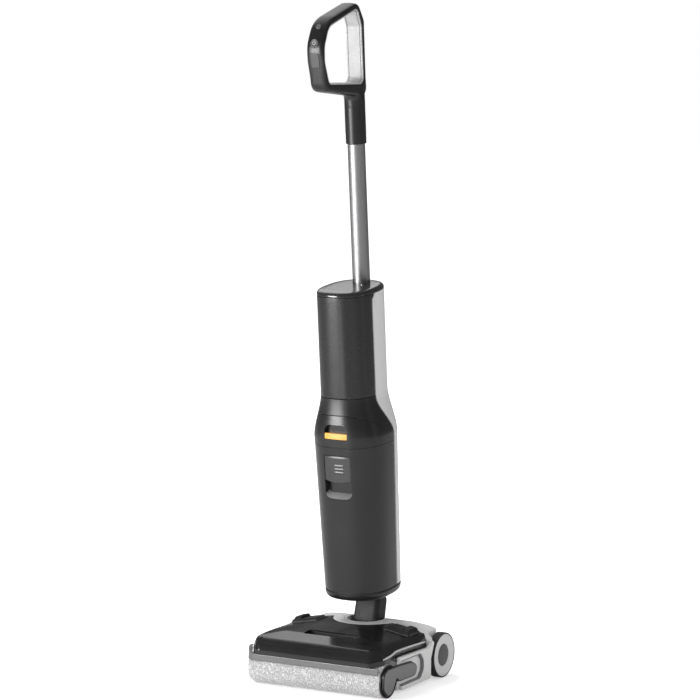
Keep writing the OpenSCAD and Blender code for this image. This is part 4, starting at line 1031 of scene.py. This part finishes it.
def domed_rows(outline, core, foot, top, edge, profile, steps):
    """Rows from a foot line up over a rounded edge and inward to a core line."""
    count = len(outline)
    centre = [Vector(core(i / count, p)) for i, p in enumerate(outline)]
    rows = [[] for _ in range(len(profile) + steps)]
    for i in range(count):
        p = Vector(outline[i])
        along = Vector(outline[(i + 1) % count]) - Vector(outline[i - 1])
        inward = Vector((-along.y, along.x)).normalized()
        if inward.dot(centre[i] - p) < 0:
            inward = -inward
        reach = edge(p.x, p.y)
        inner = p + inward * reach
        lift = top(inner.x, inner.y)
        low = foot(p.y)
        for k, (a, b) in enumerate(profile):
            q = p + inward * reach * a
            rows[k].append((q.x, q.y, low + (lift - low) * b))
        for s in range(steps):
            q = inner.lerp(centre[i], (s + 1) / steps)
            rows[len(profile) + s].append((q.x, q.y, top(q.x, q.y)))
    return rows


def shell_between(outer, inner, hollow=False):
    """Shell from the rows of its outer and its inner skin, joined along the foot."""
    rows = [row[::-1] for row in outer[::-1]] + [row[::-1] for row in inner]
    return weld(rows_body(rows, around=True, endless=hollow))


def nearest(ring, x, y):
    """Index of a line's point nearest to a place."""
    return min(range(len(ring)), key=lambda i: hypot(ring[i][0] - x, ring[i][1] - y))


def started(ring, x, y, ahead):
    """The closed line begun at the place and run towards the front first."""
    first = nearest(ring, x, y)
    ring = ring[first:] + ring[:first]
    if ring[ahead][1] > ring[0][1]:
        ring = [ring[0]] + ring[:0:-1]
    return ring


def cover_outline(count=150):
    """Plan of the cover, from its left middle round the front and back round the rear."""
    plan = rounded([(-COVER_HX, COVER_BACK, 5), (-COVER_HX, CREST_Y, 14), (-COVER_HX + 13, LIP_Y, 14),
                    (COVER_HX - 17, LIP_Y, 14), (COVER_HX, CREST_Y + 8, 16), (COVER_HX, COVER_BACK, 5),
                    (96, COVER_BACK + 3.6, 12), (-96, COVER_BACK + 3.6, 12)], 10)
    middle = -35
    ring = started(evenly(plan, 1200, True), -COVER_HX, middle, 40)
    half = nearest(ring, COVER_HX, middle)
    return evenly(ring[:half + 1], count + 1)[:-1] + evenly(ring[half:] + ring[:1], count + 1)[:-1]


def cover_core(t, point):
    """Point of the straight line across the head that the cover's rows close on."""
    return -95 + 190 * there_and_back(t), -35.0


def cover_edge(x, y):
    """How far the cover's rounded edge reaches inward."""
    front = eased(-y, 60, 108)
    rear = eased(y, -20, 46)
    return 12 + 3 * front * (1 - eased(abs(x), 96, 112)) - 4 * front * eased(abs(x), 100, 112) - 9 * rear


COVER_PROFILE = [(0, 0), (0.0, 0.14), (0.0, 0.28), (0.07, 0.36), (0.15, 0.455), (0.24, 0.55), (0.35, 0.655),
                 (0.48, 0.76), (0.62, 0.85), (0.76, 0.92), (0.89, 0.97), (1, 1)]


def cover_painted_highlight_bead(side):
    """Pale bead along the cover's side, a painted highlight for the light that the cover's edge catches."""
    rows = []
    y_front, y_back = -99, 44
    for y in np.linspace(y_front, y_back, 60):
        low = cover_foot(y)
        high = cover_top(side * (COVER_HX - 5), y)
        end = min(1.0, (y - y_front) / 12, (y_back - y) / 4 + 0.05)
        middle, half = low + (high - low) * 0.36, 1.7 * sqrt(max(0.0, end))
        row = []
        for k in range(9):
            t = -pi / 2 + pi * k / 8
            row.append((side * (COVER_HX - 0.6 + 1.3 * cos(t)), y, middle + half * sin(t)))
        row += [(side * (COVER_HX - 1.4), y, middle + half), (side * (COVER_HX - 1.4), y, middle - half)]
        rows.append(row[::-side])
    return coloured(rows_body(rows, around=True, ends=True), light_grey)


def make_head_cover():
    """Glossy cover with the round cut for the deck, the scoop and the wells of the two pads."""
    outline = cover_outline()
    outer = domed_rows(outline, cover_core, cover_foot, cover_top, cover_edge, COVER_PROFILE, 30)
    inner = domed_rows(inset_outline(outline, WALL), cover_core, cover_foot,
                       lambda x, y: cover_top(x, y) - WALL, lambda x, y: cover_edge(x, y) / 2,
                       COVER_PROFILE, 30)
    shell = shell_between(outer, inner)
    ring = plug(DECK_R + 0.4, 40, 120, Matrix.Translation((0, DECK_Y, 0)), 180)
    mouth = oblong(-46, 46, -68.5, -45.5, 3, 6)
    scoop = drawn([mouth], 60, 120, 0.05)
    wells = [drawn([oblong(side * WELL_X0, side * WELL_X1, WELL_Y0, WELL_Y1, 3)], 60, 110, 0.05)
             for side in (-1, 1)]
    cut(shell, ring, scoop, *wells)
    softened(shell, 0.5, 2, 45)
    coloured(shell, cover_gloss)
    mouth = evenly(mouth, 160, True)
    trough_y, trough_z = -57, 81.0
    rows = [[(x * 0.01, trough_y + (y - trough_y) * 0.01, trough_z) for x, y in mouth],
            [(x, y, trough_z) for x, y in mouth], [(x, y, cover_top(x, y) - 1.1) for x, y in mouth]]
    trough = thick(rows_body(rows, around=True), 1.2, True)
    coloured(trough, black_satin)
    # The pale beads along both sides are painted highlights.
    joined(shell, trough, cover_painted_highlight_bead(-1), cover_painted_highlight_bead(1))
    return piece("head_cover_moulding", shell, "head_cover", angle=24)


def make_cover_button(side, name):
    """Sprung pad that lets the cover go, with a raised block at its outer end."""
    plan = evenly(oblong(PAD_X0, PAD_X1, PAD_Y0, PAD_Y1, 2.6, 6), 160, True)
    plan = started(plan, PAD_X0, (PAD_Y0 + PAD_Y1) / 2, 10)
    profile = [(0, 0), (0, 0.6), (0.02, 0.93), (0.15, 0.97), (0.45, 0.99), (1, 1)]

    def core(t, point):
        return 75 + 25 * there_and_back(t), 25.0

    def top(x, y):
        height = cover_top(x, y) + 1.4
        block_rise = eased(x, 94, 96.5) * eased(-x, -110.5, -107) * eased(y, 9, 13) * eased(-y, -43, -39)
        pad_rise = eased(y, 7, 9.5) * eased(-y, -43, -40) * eased(x, 64, 70)
        return height + 2.8 * pad_rise + 4.7 * block_rise

    rows = domed_rows(plan, core, lambda y: 66.0, top, lambda x, y: 1.8, profile, 44)
    rows = [[(side * x, y, z) for x, y, z in row][::side] for row in rows]
    pad = thick(weld(rows_body(rows, around=True)), 1.6)
    return piece(name, coloured(pad, black_satin), name.replace("_pad", ""), angle=40)


def make_splash_strip():
    """Smoky lip along the front, curled back round the plush at the left."""
    front, back, top, bend_x, bend_steps = -116.6, -102, 53.2, -112, 18
    path = [(x, front, top) for x in np.linspace(120, bend_x, 90)]
    for k in range(1, bend_steps + 1):
        t = (pi / 2) * k / bend_steps
        path.append((bend_x - 14.0 * sin(t), front + 11.5 * (1 - cos(t)),
                     top + 12.8 * eased(k / bend_steps)))
    path.append((-126.2, back, 66.0))
    rows = []
    for i, (x, y, high) in enumerate(path):
        before, after = path[max(0, i - 1)], path[min(len(path) - 1, i + 1)]
        along = Vector((after[0] - before[0], after[1] - before[1])).normalized()
        out = Vector((along.y, -along.x))
        if out.dot(Vector((x, y + 60))) < 0:
            out = -out
        low = 42.4 + 9 * eased(i, len(path) - 8, len(path) - 1)
        curl = eased(i, 88, 100)
        profile = [(-1.0, low + 0.3), (0.0, low), (0.8, low + 0.5), (1.1, low + 2.5), (0.5, low + 4.5),
                   (0.5, high - 1.6 * curl - 0.7), (0.1 - 1.6 * curl, high), (-0.6 - 5.5 * curl, high),
                   (-1.0 - 5.5 * curl, high - 0.6), (-1.0 - 0.8 * curl, high - 0.9 - 0.6 * curl)]
        rows.append([(x + out.x * d, y + out.y * d, z) for d, z in profile])
    strip = rows_body(rows, around=True, ends=True)
    return piece("splash_lip", coloured(strip, clear_strip), "splash_strip", angle=50)


def deck_top_at(x, y):
    """Height of the white housing round the neck."""
    fall = float(np.interp(y, [0, 66, 84, 96, 105, 112], [92, 92, 89.6, 86.4, 79, 66]))
    shoulder = 80 - 0.55 * (abs(x) - 104)
    return smooth_min(smooth_min(fall, crown_top(x) - FALL * y, 3.0), shoulder, 3.0)


def deck_outline(count=480):
    """Round deck at the front, joined to the part over the wheels."""
    arc = [(DECK_R * cos(t), DECK_Y + DECK_R * sin(t)) for t in np.linspace(radians(192), radians(348), 90)]
    rear = rounded([(124, 50.4, 4), (124, 66, 6), (LEG_X, 72, 4), (LEG_X, LEG_BACK, 16),
                    (-LEG_X, LEG_BACK, 16), (-LEG_X, 72, 4), (-124, 66, 6), (-124, 50.4, 4)], 8)
    return evenly(arc + [(96, 54)] + rear + [(-96, 54)], count, True)


def wheel_arch(x, depth):
    """Cutter that clears a wheel, from x on by a depth."""
    return plug(ARCH_R, 0, depth, across(x, WHEEL_Y, WHEEL_R), 120)


def make_rear_housing():
    outline = deck_outline()
    profile = [(0, 0), (0.0, 0.5), (0.02, 0.84), (0.12, 0.92), (0.32, 0.965), (0.62, 0.99), (1, 1)]

    def core(t, point):
        turn = atan2(point[1] - PIVOT_Y, point[0])
        return CORE_R * cos(turn), PIVOT_Y + CORE_R * sin(turn)

    def foot(y):
        return 40.0 if y > TRAY_BACK else TRAY_TOP

    outer = domed_rows(outline, core, foot, deck_top_at, lambda x, y: 3.2, profile, 26)
    inner = domed_rows(inset_outline(outline, WALL), core, foot,
                       lambda x, y: deck_top_at(x, y) - WALL, lambda x, y: 1.2, profile, 26)
    shell = shell_between(outer, inner, hollow=True)
    slot = drawn([oblong(-SLOT_HX, SLOT_HX, 39, 140, 1)], 20, 120, 0.05)
    cut(shell, slot, wheel_arch(116, 30), wheel_arch(-146, 30))
    softened(shell, 0.6, 2, 45)
    return piece("rear_housing_moulding", coloured(shell, white_moulding), "rear_housing", angle=34)


def make_neck_ring():
    ring = turned(rounded([(31, 83, 0.4), (35.4, 83, 0.4), (35.4, 92, 1.2), (31, 92, 1.2)], 4),
                  Matrix.Translation((0, PIVOT_Y, 0)), 160)
    cut(ring, block(-40, 40, 74, 140, 50, 110))
    return piece("neck_ring_trim", coloured(ring, white_moulding), "neck_ring")


def panel_outline():
    """Cheek of the head, drawn in (Y, Z)."""
    return rounded([(-54, 7, 5), (47, 7, 4), (47, 40, 4), (58, 64, 2.5), (53, 70.5, 3), (48, 64, 3),
                    (40, 59.5, 6), (-61, 62.6, 3)], 8)


def bay_outline(front, reach, low, high):
    """Lever's bay in the right cheek, open at the front."""
    return rounded([(front, low, 1), (10, low, 12), (reach, 27, 14), (reach, 43, 14), (10, high, 12),
                    (front, high, 1)], 10)


def make_side_panels():
    """The two cheeks; the right one has the lever's bay with a grey liner."""
    right = drawn([panel_outline()], PANEL_X0, PANEL_X1, 1.6, ON_EDGE, 4)
    bay = drawn([bay_outline(-90, 21.5, 14, 57)], PANEL_X0 + 0.8, 160, 0.05, ON_EDGE)
    passage = plug(ROLLER_R + 1, 0, 200, across(0, ROLLER_Y, ROLLER_R), 120)
    cut(right, bay, wheel_arch(116, 60), passage)
    coloured(softened(right, 0.4, 2, 50), white_moulding)
    count, liner_front = 300, -52
    liner = evenly(bay_outline(-120, 21.4, 14.1, 56.9), count, True)
    inner = inset_outline(liner, 2.0)
    sunk, foot = PANEL_X1 - 0.9, PANEL_X0 + 0.9
    band = rows_body([[(PANEL_X1 - 0.4, *liner[i]), (sunk, *inner[i]), (foot, *inner[i]), (foot, *liner[i])]
                      for i in range(count) if liner[i][0] > liner_front], around=True, ends=True)
    coloured(band, mid_grey)
    piece("side_panel_near", joined(right, band), "side_panel_right", angle=32)
    left = drawn([panel_outline()], -PANEL_X1, -PANEL_X0, 1.6, ON_EDGE, 4)
    cut(left, wheel_arch(-176, 60), block(-200, 0, -70, -39, -1, 53.3))
    coloured(softened(left, 0.4, 2, 50), white_moulding)
    piece("side_panel_far", left, "side_panel_left", angle=32)


def make_roller():
    """Dense short pile round the core, a little uneven."""
    noise.seed_set(7)
    stations, turns, bore = 164, 120, 22.1
    circle = [(cos(2 * pi * k / turns), sin(2 * pi * k / turns)) for k in range(turns)]
    rows = []
    for i in range(stations + 1):
        x = PLUSH_X0 + (PLUSH_X1 - PLUSH_X0) * i / stations
        worn_end = (1 - min(1.0, min(i, stations - i) / 4)) ** 2
        row = []
        for c, s in circle:
            tuft = noise.fractal(Vector((x * 0.5, 9 * c, 9 * s)), 0.8, 2.0, 3)
            r = min(ROLLER_R, ROLLER_R + 0.1 - 1.4 * worn_end - 0.45 * (0.5 + 0.5 * tuft))
            row.append((x, ROLLER_Y + r * c, ROLLER_R + r * s))
        rows.append(row)
    for x in (PLUSH_X1, PLUSH_X0):
        rows.append([(x, ROLLER_Y + bore * c, ROLLER_R + bore * s) for c, s in circle])
    pile = rows_body(rows, around=True, endless=True)
    return piece("plush_sleeve", coloured(pile, plush_pile), "roller_plush", angle=180, padded=1)


def make_roller_cap():
    place = across(0, ROLLER_Y, ROLLER_R)
    cap = turned(rounded([(0.01, 122.6, 0.004), (27.2, 122.6, 0.5), (27.2, 125, 0.9), (25.4, 125, 0.4),
                          (25.0, 124.2, 0.3), (0.01, 124.2, 0.004)], 4), place, 144)
    pin = stud(5, 108, 122.9, 0.8, 0.2, place, 48, 4)
    return piece("roller_cap_moulding", coloured(joined(cap, pin), black_satin), "roller_cap")


def lever_outline():
    """Lever of the roller's cap, drawn in (Y, Z) from the roller's middle."""
    corners = [(-24, -10, 12), (-23, 16, 12), (-10, 23, 8), (28, 22.5, 10), (72, 20, 8), (91, 10, 8),
               (86, -6, 8), (34, -5.5, 3), (26, -4.5, 1), (20, 3, 3), (15, -6.3, 4), (8.5, -15, 6),
               (0, -23, 6), (-11.6, -22, 8)]
    return rounded([(ROLLER_Y + y, ROLLER_R + z, r) for y, z, r in corners], 8)


def make_roller_lever():
    base = coloured(drawn([lever_outline()], 125.1, 128.6, 0.7, ON_EDGE), black_satin)
    boss = coloured(stud(14, 124.9, 126, 0.3, 0.3, across(0, ROLLER_Y, ROLLER_R), 64), black_satin)
    inner = inset_outline(evenly(lever_outline(), 220, True), 1.9)
    face = coloured(drawn([inner], 126.6, 130, 0.8, ON_EDGE, 4), mid_grey)
    return piece("roller_lever_moulding", joined(base, face, boss), "roller_lever", angle=34)


def make_wheel(side, name):
    """Grooved tyre on a pale rim with a dark hub."""
    place = across(side * TYRE_X0, WHEEL_Y, WHEEL_R, side)
    groove_r, rim_r = WHEEL_R - 0.6, RIM_R - 0.02
    grooves = []
    for h in (4.2, 7.5, 10.8):
        grooves += [(WHEEL_R, h - 0.5, 0.2), (groove_r, h - 0.35, 0.15), (groove_r, h + 0.35, 0.15),
                    (WHEEL_R, h + 0.5, 0.2)]
    tyre = turned(rounded([(RIM_R, 0, 0.2), (WHEEL_R, 0, 1.8), *grooves, (WHEEL_R, TYRE_WIDTH, 1.8),
                           (RIM_R, TYRE_WIDTH, 0.3)], 3), place, 144)
    piece("tyre_ring_" + name, coloured(tyre, soft_rubber), "tyre_" + name, angle=50)
    face = turned(rounded([(4.1, 1, 0.2), (11, 1, 0.5), (11, 5, 1), (rim_r, 5, 0.3), (rim_r, 14.6, 0.5),
                           (RIM_R - 1.8, 14.6, 0.5), (RIM_R - 2.6, 13.9, 0.5), (24, 13.5, 2),
                           (19.2, 13.2, 0.4), (18.4, 12, 0.3), (4.1, 12, 0.2)], 3), place, 144)
    hub = turned(rounded([(5.8, 11.9, 0.1), (18.2, 11.9, 0.1), (18.2, 12.7, 0.4), (16.4, 13.0, 0.5),
                          (12, 13.4, 2), (0.01, 13.6, 0.002), (0.01, 13.1, 0.002), (5.8, 13.1, 0.2)], 3),
                 place, 96)
    coloured(face, rim_grey)
    coloured(hub, hub_grey)
    piece("rim_disc_" + name, joined(face, hub), "rim_" + name, angle=32)


def make_axles():
    """Two axles, each with a round head outside the rim."""
    profile = rounded([(0.01, 92, 0.004), (4, 92, 0.6), (4, 130, 0.2), (5.5, 130, 0.3), (5.5, 131, 0.6),
                       (0.01, 131, 0.004)], 4)
    ends = [turned(profile, across(0, WHEEL_Y, WHEEL_R, side), 48) for side in (-1, 1)]
    return piece("axle_pins", coloured(joined(*ends), bright_steel), "wheel_axles")


def make_neck_column():
    """Rounded column on a barrel across the hinge."""
    hx, back, hose_r = 23, 20, 10.35
    plan = evenly(oblong(-hx, hx, -18, back, 9, 10), 144, True)
    rows = []
    for s, inset in ((0, 0), (40, 0.0), (70, 0.5), (76, 0.9), (79, 2.0), (79.7, 3.4)):
        rows.append([(x * (1 - inset / hx), 1 + (y - 1) * (1 - inset / back), s) for x, y in plan])
    column = rows_body(rows, NECK, around=True, ends=True)
    barrel = stud(19, -hx, hx, 1.6, 1.6, NECK @ across(0, 0, 0), 120, 5)
    post = turned(rounded([(0.01, 70, 0.004), (15, 70, 0.2), (15, 92, 0.2), (18, 92, 0.4), (18, 95, 0.6),
                           (0.01, 95, 0.004)], 3), NECK, 96)
    bore = plug(hose_r, -2, 140, NECK, 72)
    port = plug(hose_r, 0, 40, NECK @ Matrix.Rotation(radians(90), 4, "X"), 72)
    pins = [plug(4.1, 10.5, 30, NECK @ across(0, 0, 0, side), 40) for side in (-1, 1)]
    merged(column, barrel, post)
    cut(column, bore, port, *pins)
    softened(column, 0.7, 2, 40)
    return piece("neck_moulding", coloured(column, neck_satin), "neck_column", angle=34)


# ---- the machine ----

make_upper_tube()
make_collar()
make_tank_lid()
make_lid_catch()
make_dirty_tank()
make_tank_release()
make_rear_shell()
make_spine()
make_top_cap()
make_base_cap()
make_clean_tank()
make_pole()
make_handle_shell()
make_handle_lining()
make_power_button()
make_mode_button()
make_status_strip()
make_head_cover()
make_cover_button(-1, "cover_button_left_pad")
make_cover_button(1, "cover_button_right_pad")
make_splash_strip()
make_rear_housing()
make_neck_ring()
make_side_panels()
make_roller()
make_roller_cap()
make_roller_lever()
make_wheel(-1, "left")
make_wheel(1, "right")
make_axles()
make_neck_column()


# ---- studio ----

WORLD_LIGHT, WORLD_IN_GLOSS, FLOOR_HALF = 0.3, 0.12, 9000
CAMERA_TURN, CAMERA_FALL, CAMERA_FAR, CAMERA_HIGH = 29.36, 8.339, 6.0, 1.429
CAMERA_ASIDE, CAMERA_LENS, SENSOR = 0.00054, 191.12914, 36.0


def lamp(name, at, aim, size, power, mirrored=True):
    """Rectangular lamp that faces a point; mirrored says whether glossy surfaces show it."""
    data = bpy.data.lights.new(name, "AREA")
    data.shape = "RECTANGLE"
    data.size = size[0]
    data.size_y = size[1]
    data.energy = power
    light = bpy.data.objects.new(name, data)
    light.location = at
    light.rotation_euler = (Vector(aim) - Vector(at)).to_track_quat("-Z", "Y").to_euler()
    light.visible_glossy = mirrored
    scene.collection.objects.link(light)


def add_world():
    """White for the camera, dimmer for what lights the machine, and dimmer still in its gloss."""
    world = bpy.data.worlds.new("studio_air")
    scene.world = world
    world.use_nodes = True
    tree = world.node_tree
    tree.nodes.clear()
    wire = Wiring(tree)
    seen = wire.add("ShaderNodeLightPath")
    dim = wire.remap(seen.outputs["Is Glossy Ray"], 0.0, 1.0, WORLD_LIGHT, WORLD_IN_GLOSS)
    strength = wire.maths("MAXIMUM", dim, seen.outputs["Is Camera Ray"])
    air = wire.add("ShaderNodeBackground", {"Color": (1, 1, 1, 1), "Strength": strength})
    out = wire.add("ShaderNodeOutputWorld")
    tree.links.new(air.outputs["Background"], out.inputs["Surface"])


def add_floor():
    """White floor that glows for the camera only, and is clear from below."""
    corners = [(-FLOOR_HALF, -FLOOR_HALF, 0), (FLOOR_HALF, -FLOOR_HALF, 0), (FLOOR_HALF, FLOOR_HALF, 0),
               (-FLOOR_HALF, FLOOR_HALF, 0)]
    floor = body(corners, [(0, 1, 2, 3)])
    floor.name = "floor"
    material, wire, skin = start_material("floor_paint")
    skin.inputs["Base Color"].default_value = (0.8, 0.8, 0.8, 1)
    skin.inputs["Roughness"].default_value = 0.9
    skin.inputs["Specular IOR Level"].default_value = 0.0
    seen = wire.add("ShaderNodeLightPath")
    far = wire.add("ShaderNodeVectorMath", {0: wire.place()}, operation="LENGTH").outputs["Value"]
    glow = wire.remap(far, 0.25, 1.6, 0.5, 1.0)
    skin.inputs["Emission Color"].default_value = (1, 1, 1, 1)
    wire.feed(skin.inputs["Emission Strength"], wire.maths("MULTIPLY", glow, seen.outputs["Is Camera Ray"]))
    below = wire.add("ShaderNodeNewGeometry").outputs["Backfacing"]
    wire.feed(skin.inputs["Alpha"], wire.maths("SUBTRACT", 1.0, below))
    floor.data.materials.append(material)


def add_lamps():
    lamp("key_lamp", (-1.74, -3.6, 0.75), (0, 0, 0.75), (1.4, 1.5), 150)
    lamp("fill_lamp", (2.6, -1.4, 1.5), (0, 0, 0.5), (1.4, 2.0), 36, mirrored=False)
    lamp("top_lamp", (-1.5, 0.9, 3.0), (-0.1, 0, 0.2), (2.0, 0.9), 60, mirrored=False)
    lamp("back_lamp", (-1.2, 1.2, 2.2), (0, 0, 0.1), (1.8, 2.6), 18)
    lamp("low_lamp", (-0.05, -1.15, 0.16), (0, 0, 0.2), (0.3, 0.3), 0.6)
    lamp("rim_lamp", (2.9, 0.9, 0.9), (0, 0, 0.6), (0.35, 1.8), 1.4)


def add_camera():
    data = bpy.data.cameras.new("camera")
    data.sensor_width = SENSOR
    data.lens = CAMERA_LENS
    data.clip_end = 50.0
    camera = bpy.data.objects.new("camera", data)
    turn = radians(CAMERA_TURN)
    camera.location = (CAMERA_FAR * sin(turn), -CAMERA_FAR * cos(turn), CAMERA_HIGH)
    camera.rotation_euler = (radians(90.0 - CAMERA_FALL), 0.0, turn - CAMERA_ASIDE)
    scene.collection.objects.link(camera)
    scene.camera = camera


add_world()
add_floor()
add_lamps()
add_camera()
scene.view_settings.view_transform = "Standard"
